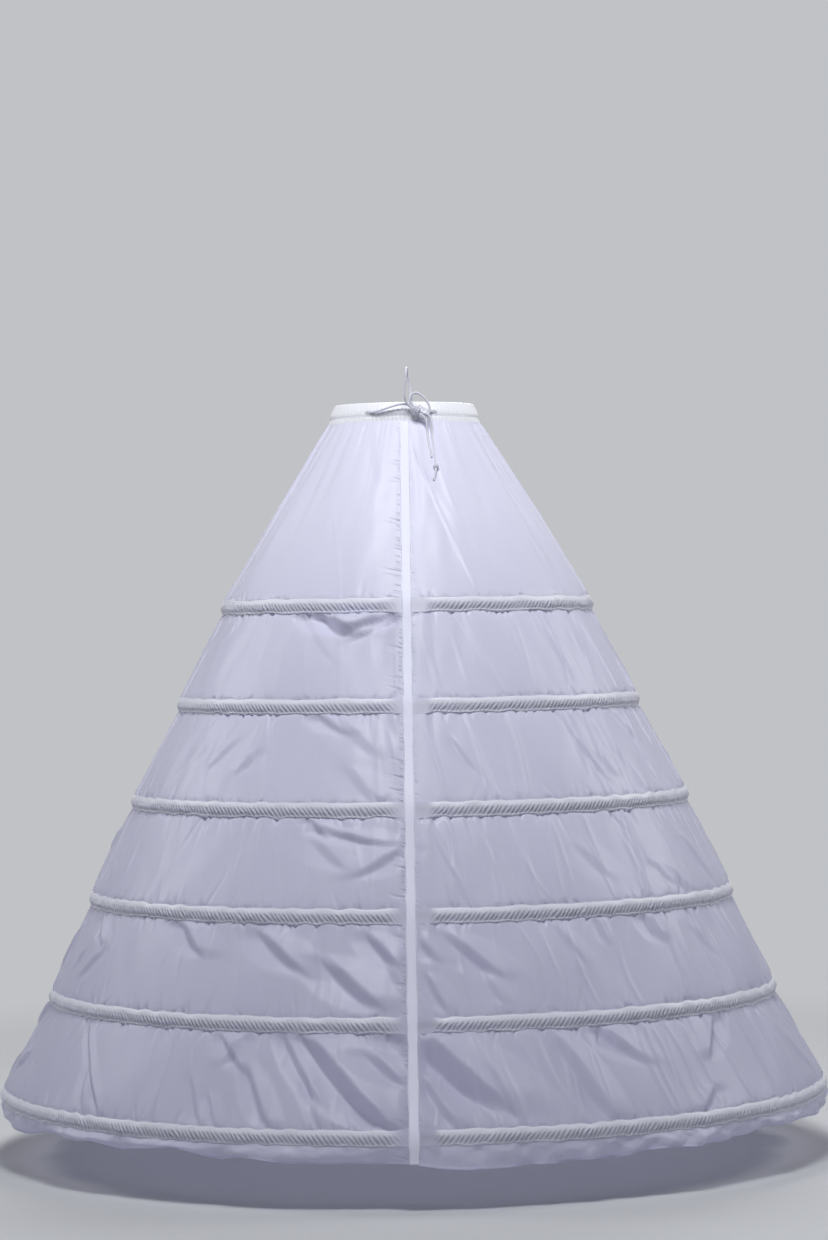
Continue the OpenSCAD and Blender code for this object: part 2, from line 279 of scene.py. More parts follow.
class Nodes:
    """Adds nodes to a tree and joins them."""

    def __init__(self, tree: NodeTree) -> None:
        """Takes the tree to build in."""
        self.tree = tree

    def add(self, kind: str, values: dict | None = None, **settings: object) -> Node:
        """Adds a node.

        Args:
            kind: The node's type name.
            values: Socket name or number to a value, or to a socket to link from.
            settings: Properties of the node.

        Returns:
            The new node.
        """
        node = self.tree.nodes.new(kind)
        for key, value in settings.items():
            setattr(node, key, value)
        for key, value in (values or {}).items():
            if isinstance(value, NodeSocket):
                self.tree.links.new(value, node.inputs[key])
            else:
                node.inputs[key].default_value = value
        return node

    def math(self, operation: str, a: object, b: object = 0.0, c: object = 0.0) -> NodeSocket:
        """Adds a maths node and returns its output socket."""
        return self.add("ShaderNodeMath", {0: a, 1: b, 2: c}, operation=operation).outputs[0]

    def ramp(
        self, value: NodeSocket, to: Pair = (0.0, 1.0), span: Pair = (0.0, 1.0), soft: bool = False
    ) -> NodeSocket:
        """Adds a clamped change of a value.

        Args:
            value: The value.
            to: What it becomes at the span's start and end.
            span: Where the change starts and ends.
            soft: Whether the change eases in and out.

        Returns:
            The output socket.
        """
        return self.add(
            "ShaderNodeMapRange",
            {"Value": value, "From Min": span[0], "From Max": span[1], "To Min": to[0], "To Max": to[1]},
            interpolation_type="SMOOTHSTEP" if soft else "LINEAR",
        ).outputs[0]

    def blend(self, factor: NodeSocket, a: object, b: object) -> NodeSocket:
        """Adds a mix of two colours.

        Args:
            factor: 0 for the first colour, 1 for the second.
            a: The first colour, or a socket to take it from.
            b: The second.

        Returns:
            The output socket.
        """
        node = self.add("ShaderNodeMix", {0: factor}, data_type="RGBA")
        for socket, colour in zip([i for i in node.inputs if i.type == "RGBA"], (a, b)):
            if isinstance(colour, NodeSocket):
                self.link(colour, socket)
            else:
                socket.default_value = (*colour, 1.0)
        return next(o for o in node.outputs if o.type == "RGBA")

    def link(self, a: NodeSocket, b: NodeSocket) -> None:
        """Joins an output to an input."""
        self.tree.links.new(a, b)


def new_tree(name: str, kind: str, inputs: dict[str, str], outputs: dict[str, str]) -> NodeTree:
    """A node tree with named sockets.

    Args:
        name: Name of the tree.
        kind: Its type.
        inputs: Name of each input, and what it takes, such as Float.
        outputs: The same for the outputs.

    Returns:
        The tree, still without nodes.
    """
    tree = bpy.data.node_groups.new(name, kind)
    for way, sockets in (("INPUT", inputs), ("OUTPUT", outputs)):
        for socket, sort in sockets.items():
            tree.interface.new_socket(socket, in_out=way, socket_type="NodeSocket" + sort)
    return tree


class SharedTree:
    """A node tree that is built once and used by many pieces or materials."""

    _tree: NodeTree | None = None

    @classmethod
    def tree(cls) -> NodeTree:
        """Builds the tree at its first use.

        Returns:
            The node tree.
        """
        if cls._tree is None:
            cls._tree = cls._build()
        return cls._tree

    @staticmethod
    def _build() -> NodeTree:
        """Builds the tree, each kind in its own way."""
        raise NotImplementedError


class RidgeTree(SharedTree):
    """Geometry nodes that push a strip of cloth into slanted gathers."""

    @staticmethod
    def _build() -> NodeTree:
        """Builds the tree: it reads the strip's along, across and hold numbers.

        Returns:
            The tree, with its sizes as named inputs.
        """
        sizes = ("Pitch", "Slant", "Depth", "Irregular", "Middle", "Spread", "Seed")
        inputs = {"Geometry": "Geometry", **dict.fromkeys(sizes, "Float"), "Cloth": "Material"}
        tree = new_tree("gathered_cloth", "GeometryNodeTree", inputs, {"Geometry": "Geometry"})
        n = Nodes(tree)
        source = n.add("NodeGroupInput").outputs

        def named(name: str) -> NodeSocket:
            """The strip's number of that name."""
            node = n.add("GeometryNodeInputNamedAttribute", {"Name": name}, data_type="FLOAT")
            return node.outputs["Attribute"]

        along, across, hold = named("along"), named("across"), named("hold")
        place = n.add("ShaderNodeCombineXYZ", {0: along, 1: n.math("MULTIPLY", across, 0.004)}).outputs[0]

        def noise(scale: float, shift: float) -> NodeSocket:
            """Smooth noise along the strip.

            Args:
                scale: How fine it is.
                shift: What is added to the seed.

            Returns:
                Values from about -1 to 1.
            """
            seed = n.math("ADD", source["Seed"], shift)
            value = n.add(
                "ShaderNodeTexNoise", {"Vector": place, "W": seed, "Scale": scale, "Detail": 2.0},
                noise_dimensions="4D",
            ).outputs[0]
            return n.math("MULTIPLY_ADD", value, 4.0, -2.0)

        slanted = n.math("MULTIPLY_ADD", across, source["Slant"], along)
        phase = n.math("DIVIDE", slanted, source["Pitch"])
        phase = n.math("MULTIPLY_ADD", noise(45.0, 0.0), source["Irregular"], phase)
        crest = n.math("ABSOLUTE", n.math("SINE", n.math("MULTIPLY", phase, math.pi)))
        groove = n.math("SUBTRACT", n.math("POWER", crest, 0.9), 0.5)
        fine = n.math("MULTIPLY", noise(190.0, 7.0), 0.12)
        amount = n.math("MAXIMUM", n.math("MULTIPLY_ADD", noise(20.0, 3.0), 0.6, 0.85), 0.3)
        apart = n.math("DIVIDE", n.math("SUBTRACT", across, source["Middle"]), source["Spread"])
        envelope = n.math("EXPONENT", n.math("MULTIPLY", n.math("MULTIPLY", apart, apart), -1.0))
        push = n.math("MULTIPLY", n.math("ADD", groove, fine), n.math("MINIMUM", amount, 1.15))
        depth = n.math("MULTIPLY", hold, source["Depth"])
        push = n.math("MULTIPLY", n.math("MULTIPLY", push, envelope), depth)
        normal = n.add("GeometryNodeInputNormal").outputs[0]
        offset = n.add("ShaderNodeVectorMath", {0: normal, "Scale": push}, operation="SCALE").outputs[0]
        moved = n.add("GeometryNodeSetPosition", {"Geometry": source["Geometry"], "Offset": offset}).outputs[0]
        real = n.add("GeometryNodeRealizeInstances", {"Geometry": moved}).outputs[0]
        done = n.add("GeometryNodeSetMaterial", {"Geometry": real, "Material": source["Cloth"]}).outputs[0]
        n.link(done, n.add("NodeGroupOutput").inputs[0])
        return tree


class StitchTree(SharedTree):
    """Geometry nodes that lay thread stitches along lines of edges."""

    @staticmethod
    def _build() -> NodeTree:
        """Builds the tree.

        Returns:
            The tree, with the stitch's sizes as named inputs.
        """
        sizes = dict.fromkeys(("Pitch", "Length", "Thread"), "Float")
        inputs = {"Geometry": "Geometry", **sizes, "Material": "Material"}
        tree = new_tree("stitched_line", "GeometryNodeTree", inputs, {"Geometry": "Geometry"})
        n = Nodes(tree)
        source = n.add("NodeGroupInput").outputs
        curve = n.add("GeometryNodeMeshToCurve", {"Mesh": source["Geometry"]}).outputs[0]
        even = n.add(
            "GeometryNodeResampleCurve", {"Curve": curve, "Length": source["Pitch"]}, mode="LENGTH"
        ).outputs[0]
        thread = n.add(
            "GeometryNodeMeshCylinder", {"Vertices": 5, "Radius": source["Thread"], "Depth": source["Length"]}
        ).outputs[0]
        tangent = n.add("GeometryNodeInputTangent").outputs[0]
        turn = n.add("FunctionNodeAlignRotationToVector", {"Vector": tangent}, axis="Z").outputs[0]
        laid = n.add(
            "GeometryNodeInstanceOnPoints", {"Points": even, "Instance": thread, "Rotation": turn}
        ).outputs[0]
        real = n.add("GeometryNodeRealizeInstances", {"Geometry": laid}).outputs[0]
        done = n.add("GeometryNodeSetMaterial", {"Geometry": real, "Material": source["Material"]}).outputs[0]
        n.link(done, n.add("NodeGroupOutput").inputs[0])
        return tree


def grow(obj: Object, tree: NodeTree, inputs: dict[str, object]) -> Object:
    """Runs a geometry node tree on an object and keeps the result as its plain mesh.

    Args:
        obj: The object that the tree starts from.
        tree: The node tree.
        inputs: Values for the tree's named inputs.

    Returns:
        The same object with its new mesh.
    """
    modifier = obj.modifiers.new(tree.name, "NODES")
    modifier.node_group = tree
    for item in tree.interface.items_tree:
        if item.item_type == "SOCKET" and item.in_out == "INPUT" and item.name in inputs:
            modifier[item.identifier] = inputs[item.name]
    depsgraph = bpy.context.evaluated_depsgraph_get()
    mesh = bpy.data.meshes.new_from_object(obj.evaluated_get(depsgraph), depsgraph=depsgraph)
    obj.modifiers.remove(modifier)
    old = obj.data
    obj.data = mesh
    bpy.data.meshes.remove(old)
    mesh.name = obj.name
    mesh.polygons.foreach_set("use_smooth", [True] * len(mesh.polygons))
    return obj


@dataclass(frozen=True)
class Gathers:
    """Slanted gathers in a strip of cloth.

    Attributes:
        pitch: Spacing of the gathers.
        slant: How far a gather leans over the strip's half-height.
        depth: Depth of a gather.
        irregular: How far gathers stray, in pitches.
        middle: Where they are deepest, as a share of the strip's half-height.
        spread: Over how much of the half-height they fade.
        seed: Fixed seed of their unevenness.
    """

    pitch: float
    slant: float
    depth: float
    irregular: float
    middle: float
    spread: float
    seed: float

    def press(self, strip: Object, cloth: Material) -> None:
        """Pushes a strip into the gathers and gives it its cloth.

        Args:
            strip: A strip with the numbers that the gathers need.
            cloth: Its material.
        """
        grow(strip, RidgeTree.tree(), {
            "Pitch": self.pitch, "Slant": self.slant, "Depth": self.depth, "Irregular": self.irregular,
            "Middle": self.middle, "Spread": self.spread, "Seed": self.seed, "Cloth": cloth,
        })


def thicken(obj: Object, thickness: float) -> None:
    """Gives a sheet its thickness towards the inside.

    Args:
        obj: The sheet.
        thickness: Its thickness.
    """
    solid = obj.modifiers.new("cloth_thickness", "SOLIDIFY")
    solid.thickness = thickness
    solid.offset = -1.0
    solid.use_even_offset = False


# ---- finishes


def new_material(name: str) -> tuple[Material, Nodes]:
    """Makes a material without nodes.

    Args:
        name: Its name.

    Returns:
        The material, and what adds nodes to it.
    """
    mat = bpy.data.materials.new(name)
    mat.use_nodes = True
    mat.node_tree.nodes.clear()
    return mat, Nodes(mat.node_tree)


class WeaveGroup(SharedTree):
    """A shader group for plain weave: fine threads and slow uneven streaks along them."""

    @staticmethod
    def _build() -> NodeTree:
        """Builds the group.

        Returns:
            A group from cloth coordinates in metres to a height and a streak mask.
        """
        tree = new_tree(
            "plain_weave", "ShaderNodeTree", {"Cloth": "Vector", "Threads per metre": "Float"},
            {"Height": "Float", "Streaks": "Float"},
        )
        n = Nodes(tree)
        source = n.add("NodeGroupInput").outputs
        split = n.add("ShaderNodeSeparateXYZ", {0: source["Cloth"]}).outputs
        turns = n.math("MULTIPLY", source["Threads per metre"], math.pi)
        warp = n.math("SINE", n.math("MULTIPLY", split[0], turns))
        weft = n.math("SINE", n.math("MULTIPLY", split[1], turns))

        def streaks(across: float, down: float) -> NodeSocket:
            """Streaks of the cloth.

            Args:
                across: How many to a metre across.
                down: How many to a metre down.

            Returns:
                A mask from 0 to 1.
            """
            place = n.add("ShaderNodeMapping", {"Vector": source["Cloth"], "Scale": (across, down, 1.0)})
            noise = n.add("ShaderNodeTexNoise", {"Vector": place.outputs[0], "Scale": 1.0, "Detail": 1.0})
            return noise.outputs[0]

        a, b = streaks(900.0, 24.0), streaks(18.0, 700.0)
        out = n.add("NodeGroupOutput")
        n.link(n.math("MULTIPLY", warp, weft), out.inputs["Height"])
        n.link(n.math("MULTIPLY", n.math("ADD", a, b), 0.5), out.inputs["Streaks"])
        return tree


class SeamPullGroup(SharedTree):
    """A shader group for the short pulls where the cloth meets the back seam's binding."""

    @staticmethod
    def _build() -> NodeTree:
        """Builds the group.

        Returns:
            A group from cloth coordinates in metres to a height.
        """
        tree = new_tree("seam_pulls", "ShaderNodeTree", {"Cloth": "Vector"}, {"Height": "Float"})
        n = Nodes(tree)
        split = n.add("ShaderNodeSeparateXYZ", {0: n.add("NodeGroupInput").outputs["Cloth"]}).outputs
        right = n.ramp(split[0], (1.0, 0.0), (0.0, 0.012))

        def pulls(
            slant: float, scale: float, detail: float, shown: Pair, reach: Pair
        ) -> NodeSocket:
            """Slanted pulls of one size.

            Args:
                slant: How far a pull falls for each metre across.
                scale: How many there are to a metre, about.
                detail: How uneven they are.
                shown: Noise at which a pull starts and is full.
                reach: Places across at which pulls start and are full, left of the seam.

            Returns:
                A mask from 0 to 1.
            """
            slanted = n.math("MULTIPLY_ADD", split[0], slant, split[1])
            rows = n.add(
                "ShaderNodeTexNoise", {"W": slanted, "Scale": scale, "Detail": detail}, noise_dimensions="1D"
            ).outputs[0]
            left = n.ramp(split[0], span=reach, soft=True)
            return n.math("MULTIPLY", n.math("MULTIPLY", n.ramp(rows, span=shown), left), right)

        near = pulls(0.45, 190.0, 1.5, (0.52, 0.62), (-0.0145, -0.0082))
        # A few pulls run further into the cloth
        far = pulls(0.30, 70.0, 0.5, (0.60, 0.72), (-0.032, -0.010))
        n.link(n.math("MULTIPLY", n.math("ADD", near, far), -1.0), n.add("NodeGroupOutput").inputs["Height"])
        return tree


@dataclass(frozen=True)
class ClothFinish:
    """A woven white cloth.

    Attributes:
        name: Material name.
        colour: Colour where the light falls.
        shade: Colour of the thinner streaks.
        roughness: Roughness between and on the streaks.
        through: Share of light that passes through.
        sheen: Strength of the soft sheen.
        threads: Threads per metre.
        relief: Height of the weave.
        seam_pulls: Strength of the small pulls beside the back seam.
        single: Colour where a doubled cloth is single, if it ever is.
        dense_share: How much of the light still passes through where the cloth is dense.
    """

    name: str
    colour: Colour
    shade: Colour
    roughness: Pair
    through: float
    sheen: float
    threads: float = 1400.0
    relief: float = 0.05
    seam_pulls: float = 0.0
    single: Colour | None = None
    dense_share: float = 0.11

    def material(self) -> Material:
        """Builds the material.

        Returns:
            A cloth material on the piece's cloth coordinates.
        """
        mat, n = new_material(self.name)
        cloth = n.add("ShaderNodeUVMap", uv_map="cloth").outputs[0]
        weave = n.add("ShaderNodeGroup", node_tree=WeaveGroup.tree())
        n.link(cloth, weave.inputs["Cloth"])
        weave.inputs["Threads per metre"].default_value = self.threads
        colour = n.blend(weave.outputs["Streaks"], self.shade, self.colour)
        dense = n.add("ShaderNodeAttribute", attribute_name="dense").outputs["Fac"]
        if self.single:
            colour = n.blend(dense, self.single, colour)
        through = n.ramp(dense, (self.through, self.through * self.dense_share))
        rough = n.ramp(weave.outputs["Streaks"], self.roughness[::-1])
        bump = n.add(
            "ShaderNodeBump", {"Height": weave.outputs["Height"], "Strength": self.relief, "Distance": 0.0003}
        ).outputs[0]
        if self.seam_pulls:
            pulls = n.add("ShaderNodeGroup", node_tree=SeamPullGroup.tree())
            n.link(cloth, pulls.inputs["Cloth"])
            bump = n.add(
                "ShaderNodeBump",
                {
                    "Height": pulls.outputs["Height"], "Normal": bump, "Strength": self.seam_pulls,
                    "Distance": 0.0015,
                },
            ).outputs[0]
        skin = n.add("ShaderNodeBsdfPrincipled", {"Base Color": colour, "Roughness": rough, "Normal": bump})
        skin.inputs["Sheen Weight"].default_value = self.sheen
        skin.inputs["Sheen Roughness"].default_value = 0.35
        skin.inputs["Specular IOR Level"].default_value = 0.45
        back = n.add("ShaderNodeBsdfTranslucent", {"Color": colour, "Normal": bump})
        mixed = n.add("ShaderNodeMixShader", {0: through, 1: skin.outputs[0], 2: back.outputs[0]})
        n.link(mixed.outputs[0], n.add("ShaderNodeOutputMaterial").inputs[0])
        return mat


@dataclass(frozen=True)
class CordFinish:
    """A soft twisted cord on the tube's own coordinates.

    Attributes:
        name: Material name.
        colour: Colour of a strand.
        groove: Colour between strands, painted shade in the grooves.
        strand: Length of cord that one strand's turn covers.
        radius: Radius of the cord.
    """

    name: str
    colour: Colour
    groove: Colour
    strand: float
    radius: float

    def material(self) -> Material:
        """Builds the material.

        Returns:
            A cord material with strands that wind round the tube.
        """
        mat, n = new_material(self.name)
        place = n.add("ShaderNodeUVMap", uv_map="cloth").outputs[0]
        split = n.add("ShaderNodeSeparateXYZ", {0: place}).outputs
        turn = n.math("DIVIDE", split[0], 2 * math.pi * self.radius)
        wind = n.math("ADD", n.math("MULTIPLY", turn, 3.0), n.math("DIVIDE", split[1], self.strand))
        crest = n.math("ABSOLUTE", n.math("SINE", n.math("MULTIPLY", wind, math.pi)))
        # The darker colour between the strands is painted shade in the grooves
        colour = n.blend(crest, self.groove, self.colour)
        bump = n.add("ShaderNodeBump", {"Height": crest, "Strength": 0.6, "Distance": 0.0006}).outputs[0]
        skin = n.add("ShaderNodeBsdfPrincipled", {"Base Color": colour, "Normal": bump, "Roughness": 0.6})
        skin.inputs["Sheen Weight"].default_value = 0.3
        n.link(skin.outputs[0], n.add("ShaderNodeOutputMaterial").inputs[0])
        return mat


@dataclass(frozen=True)
class HardFinish:
    """Plastic-coated boning or a steel clip, marked by fine streaks along Z-level rings.

    Attributes:
        name: Material name.
        colour: Colour of the clean surface.
        worn: Colour in its streaks.
        roughness: Roughness of the clean and the streaked surface.
        metal: 1 for bare metal, 0 for a coat of plastic.
        streaks: Streaks per metre of height.
    """

    name: str
    colour: Colour
    worn: Colour
    roughness: Pair
    metal: float
    streaks: float

    def material(self) -> Material:
        """Builds the material.

        Returns:
            A hard material on Object coordinates.
        """
        mat, n = new_material(self.name)
        place = n.add("ShaderNodeTexCoord").outputs["Object"]
        lines = n.add("ShaderNodeMapping", {"Vector": place, "Scale": (40.0, 40.0, self.streaks)}).outputs[0]
        grain = n.add("ShaderNodeTexNoise", {"Vector": lines, "Scale": 1.0, "Detail": 3.0}).outputs[0]
        colour = n.blend(grain, self.worn, self.colour)
        rough = n.ramp(grain, self.roughness[::-1])
        bump = n.add("ShaderNodeBump", {"Height": grain, "Strength": 0.15, "Distance": 0.0004}).outputs[0]
        skin = n.add("ShaderNodeBsdfPrincipled", {"Base Color": colour, "Roughness": rough, "Normal": bump})
        skin.inputs["Metallic"].default_value = self.metal
        n.link(skin.outputs[0], n.add("ShaderNodeOutputMaterial").inputs[0])
        return mat


@dataclass(frozen=True)
class TapeFinish:
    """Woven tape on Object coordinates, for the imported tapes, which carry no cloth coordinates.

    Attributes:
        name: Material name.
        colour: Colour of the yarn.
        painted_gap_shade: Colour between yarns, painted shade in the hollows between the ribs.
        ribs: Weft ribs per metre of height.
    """

    name: str
    colour: Colour
    painted_gap_shade: Colour
    ribs: float

    def material(self) -> Material:
        """Builds the material.

        Returns:
            A ribbed tape material.
        """
        mat, n = new_material(self.name)
        place = n.add("ShaderNodeTexCoord").outputs["Object"]
        height = n.add("ShaderNodeSeparateXYZ", {0: place}).outputs[2]
        turns = n.math("MULTIPLY", height, self.ribs * 2 * math.pi)
        rib = n.math("MULTIPLY_ADD", n.math("SINE", turns), 0.5, 0.5)
        fuzz = n.add("ShaderNodeTexNoise", {"Vector": place, "Scale": 900.0, "Detail": 2.0}).outputs[0]
        mask = n.math("MULTIPLY", n.math("ADD", rib, fuzz), 0.5)
        # Darker in the rib hollows: painted shade; the fuzz is the yarn's own uneven tone
        colour = n.blend(mask, self.painted_gap_shade, self.colour)
        bump = n.add("ShaderNodeBump", {"Height": mask, "Strength": 0.4, "Distance": 0.0004}).outputs[0]
        skin = n.add("ShaderNodeBsdfPrincipled", {"Base Color": colour, "Normal": bump, "Roughness": 0.7})
        skin.inputs["Sheen Weight"].default_value = 0.2
        n.link(skin.outputs[0], n.add("ShaderNodeOutputMaterial").inputs[0])
        return mat


SKIRT_CLOTH = ClothFinish(
    "sheer_taffeta", (0.855, 0.85, 0.99), (0.78, 0.775, 0.935), (0.37, 0.46), through=0.50, sheen=0.10,
    seam_pulls=0.8,
)
RUCHED_CLOTH = ClothFinish(
    "ruched_taffeta", (0.92, 0.925, 1.0), (0.86, 0.865, 1.0), (0.38, 0.48), through=0.50, sheen=0.10,
    single=(0.79, 0.785, 0.93),
)
BAND_CLOTH = ClothFinish(
    "doubled_taffeta", (0.97, 0.972, 1.0), (0.92, 0.925, 1.0), (0.40, 0.50), through=0.03, sheen=0.12
)
STRIP_CLOTH = ClothFinish(
    "bound_taffeta", (0.86, 0.865, 1.0), (0.82, 0.825, 0.98), (0.42, 0.52), through=0.0, sheen=0.10
)
THREAD = ClothFinish(
    "white_thread", (0.90, 0.90, 0.98), (0.82, 0.82, 0.92), (0.5, 0.6), through=0.0, sheen=0.2
)
CORD_RADIUS = 1.7 * MM
# The second colour of each cord is painted shade between its strands
CORD = CordFinish(
    "soft_cord", (0.90, 0.90, 0.97), (0.58, 0.58, 0.70), strand=2.4 * MM, radius=CORD_RADIUS
)
WORKED_RADIUS = 0.75 * MM
WORKED = CordFinish(
    "worked_edge", (0.90, 0.90, 0.97), (0.62, 0.62, 0.74), strand=0.9 * MM, radius=WORKED_RADIUS
)
TAPE = TapeFinish("casing_tape", (0.86, 0.86, 0.94), (0.70, 0.70, 0.80), ribs=900.0)
BONING = HardFinish("coated_boning", (0.84, 0.84, 0.82), (0.70, 0.70, 0.68), (0.35, 0.5), 0.0, 500.0)
CLIP = HardFinish("crimped_steel", (0.62, 0.63, 0.65), (0.45, 0.46, 0.48), (0.28, 0.42), 1.0, 1500.0)


# ---- the skirt's shape


@dataclass(frozen=True)
class Hoop:
    """A hoop as packed: outer radius, level, and half the height of its casing."""

    radius: float
    level: float
    half: float


@dataclass(frozen=True)
class Tier:
    """A stretch of cloth between two rows of stitches.

    Attributes:
        number: Counted from the waist.
        top: Half-axes across and deep, and level, of its upper edge.
        bottom: The same for its lower edge.
    """

    number: int
    top: Point
    bottom: Point

    @property
    def radius(self) -> float:
        """Mean radius, by which its cloth is measured round."""
        return (sum(self.top[:2]) + sum(self.bottom[:2])) / 4

    @property
    def height(self) -> float:
        """Distance down the cloth."""
        return math.hypot(self.bottom[0] - self.top[0], self.bottom[2] - self.top[2])

    def surface(self, angle: np.ndarray, share: np.ndarray, push: np.ndarray) -> np.ndarray:
        """Points of the tier.

        Args:
            angle: Angles from the back seam.
            share: Shares of the way down.
            push: Distances out of the plain surface.

        Returns:
            Points, shaped as the angles with 3 added.
        """
        a = self.top[0] + (self.bottom[0] - self.top[0]) * share
        b = self.top[1] + (self.bottom[1] - self.top[1]) * share
        z = self.top[2] + (self.bottom[2] - self.top[2]) * share
        rise = (self.bottom[0] - self.top[0]) / self.height
        out = (self.top[2] - self.bottom[2]) / self.height
        return round_axis(angle, a + push * out, b + push * out, z + push * rise)


@dataclass(frozen=True)
class Fold:
    """One soft crease of the cloth, drawn on the back of the skirt as seen.

    Attributes:
        tier: Number of the tier that it lies in.
        start: Distance to the right of the seam and share of the way down, where it starts.
        end: The same where it ends.
        width: Width of its side that is turned away from the light, in millimetres.
        drop: How far the cloth drops over that width, in millimetres.
    """

    tier: int
    start: Pair
    end: Pair
    width: float
    drop: float


@dataclass
class FoldField:
    """The unevenness of the taut cloth: pulls at the stitches, thin crests, and folds with a side turned away.

    Attributes:
        seed: Fixed seed of everything random.
        slack: How slack the cloth of each tier is: taut near the waist, loose near the hem.
        slack_depth: Height of the broad unevenness.
        ripple_depth: Height of the finer unevenness.
        pull_pitch: Mean spacing of the pulls at a row of stitches.
        pull_depth: Depth of a usual pull.
        crest_pitch: Mean spacing of the thin crests that run down the cloth.
        crest_height: Height of a usual crest.
        facet_pitch: Mean spacing of the random folds.
        facet_drop: Height that a usual fold falls.
        facet_section: A fold's section: places across it in widths, and heights in drops.
        facet_blurs: Shifts across, in widths, over which the section is softened.
        facet_gain: What the softened section is divided by.
        edge_share: Share of a tier's height over which the folds fade at its stitches.
        seam_flat: Distances from the back seam at which the cloth stops lying flat and is free.
        side_angle: Angle of the side seams, which lie a little to the back of the sides.
        side_height: Height of their ridge.
        folds: Folds that are listed one by one.
    """

    seed: int = 1860
    slack: tuple[float, ...] = (0.3, 0.4, 1.0, 1.2, 1.6, 1.8)
    slack_depth: float = 2.2 * MM
    ripple_depth: float = 0.5 * MM
    pull_pitch: float = 9.0 * MM
    pull_depth: float = 1.7 * MM
    crest_pitch: float = 27 * MM
    crest_height: float = 2.4 * MM
    facet_pitch: float = 150 * MM
    facet_drop: float = 3.4 * MM
    facet_section: tuple[tuple[float, ...], tuple[float, ...]] = ((-2.6, 0.0, 1.0, 3.4), (0.0, 0.5, -0.5, 0.0))
    facet_blurs: tuple[float, ...] = (-0.05, 0.0, 0.05)
    facet_gain: float = 1.9
    edge_share: float = 0.07
    seam_flat: Pair = (3 * MM, 20 * MM)
    side_angle: float = math.radians(79.5)
    side_height: float = 1.2 * MM
    folds: tuple[Fold, ...] = ()

    @staticmethod
    def waves(
        rng: np.random.Generator, angle: np.ndarray, down: np.ndarray, turns: tuple[int, int], slope: float
    ) -> np.ndarray:
        """Smooth noise that closes on itself round the skirt.

        Args:
            rng: Source of the random draws.
            angle: Angles from the back seam.
            down: Distances down the cloth.
            turns: Fewest and most waves round the skirt.
            slope: Most radians that a wave turns for each metre down.

        Returns:
            Values of about -1 to 1.
        """
        total = np.zeros(np.broadcast(angle, down).shape)
        for _ in range(WAVES):
            m = int(rng.integers(turns[0], turns[1] + 1))
            k = rng.uniform(-slope, slope)
            total = total + np.cos(m * angle + k * down + rng.uniform(0, 2 * math.pi))
        return total / WAVES_GAIN

    def height(self, tier: Tier, angle: np.ndarray, share: np.ndarray) -> np.ndarray:
        """Distance of the cloth from its plain surface.

        Args:
            tier: The tier that the cloth belongs to.
            angle: Angles from the back seam.
            share: Shares of the way down.

        Returns:
            Distances, outwards positive.
        """
        rng = np.random.default_rng(self.seed + tier.number)
        down = share * tier.height
        middle = 4 * share * (1 - share)
        push = self.slack_depth * middle * self.waves(rng, angle, down, (3, 16), 14.0)
        push = push + self.ripple_depth * middle * self.waves(rng, angle, down, (20, 60), 60.0)
        self.add_crests(rng, tier, angle[0], down[:, 0], push)
        girth = 2 * math.pi * tier.radius
        for _ in range(int(girth / self.facet_pitch)):
            at = rng.uniform(-math.pi, math.pi)
            slant = rng.uniform(0.3, 1.1) * (1.0 if math.sin(at) > -0.3 else rng.choice([-1.0, 1.0]))
            start = rng.uniform(-0.15, 0.6)
            fall = rng.uniform(0.3, 0.75)
            width = rng.uniform(6.0, 14.0) * MM
            drop = self.facet_drop * rng.uniform(0.3, 1.0) * self.slackness(tier)
            push = push + self.facet(tier, angle, share, (at * tier.radius, start), slant, fall, width, drop)
        for fold in (f for f in self.folds if f.tier == tier.number):
            fall = fold.end[1] - fold.start[1]
            slant = (fold.end[0] - fold.start[0]) / (fall * tier.height)
            width, drop = fold.width * MM, fold.drop * MM
            push = push + self.facet(tier, angle, share, fold.start, slant, fall, width, drop)
        push = push * smoothstep(share, 0.0, self.edge_share) * smoothstep(1 - share, 0.0, self.edge_share)
        self.add_pulls(rng, tier, angle[0], down[:, 0], push)
        push = push + self.side_seams(tier, angle)
        # The cloth lies flat where the seam is bound
        return push * smoothstep(np.abs(angle) * tier.radius, *self.seam_flat)

    def slackness(self, tier: Tier) -> float:
        """How slack the cloth of a tier is."""
        return self.slack[tier.number - 1]

    def side_seams(self, tier: Tier, angle: np.ndarray) -> np.ndarray:
        """The ridge of each side seam, with a groove on its back side.

        Args:
            tier: The tier.
            angle: Angles from the back seam.

        Returns:
            Distances, outwards positive.
        """
        across = (np.abs(angle) - self.side_angle) * tier.radius
        ridge = np.exp(-((across / (2.4 * MM)) ** 2))
        groove = np.exp(-(((across + 5 * MM) / (2.6 * MM)) ** 2))
        return self.side_height * (ridge - 1.2 * groove)

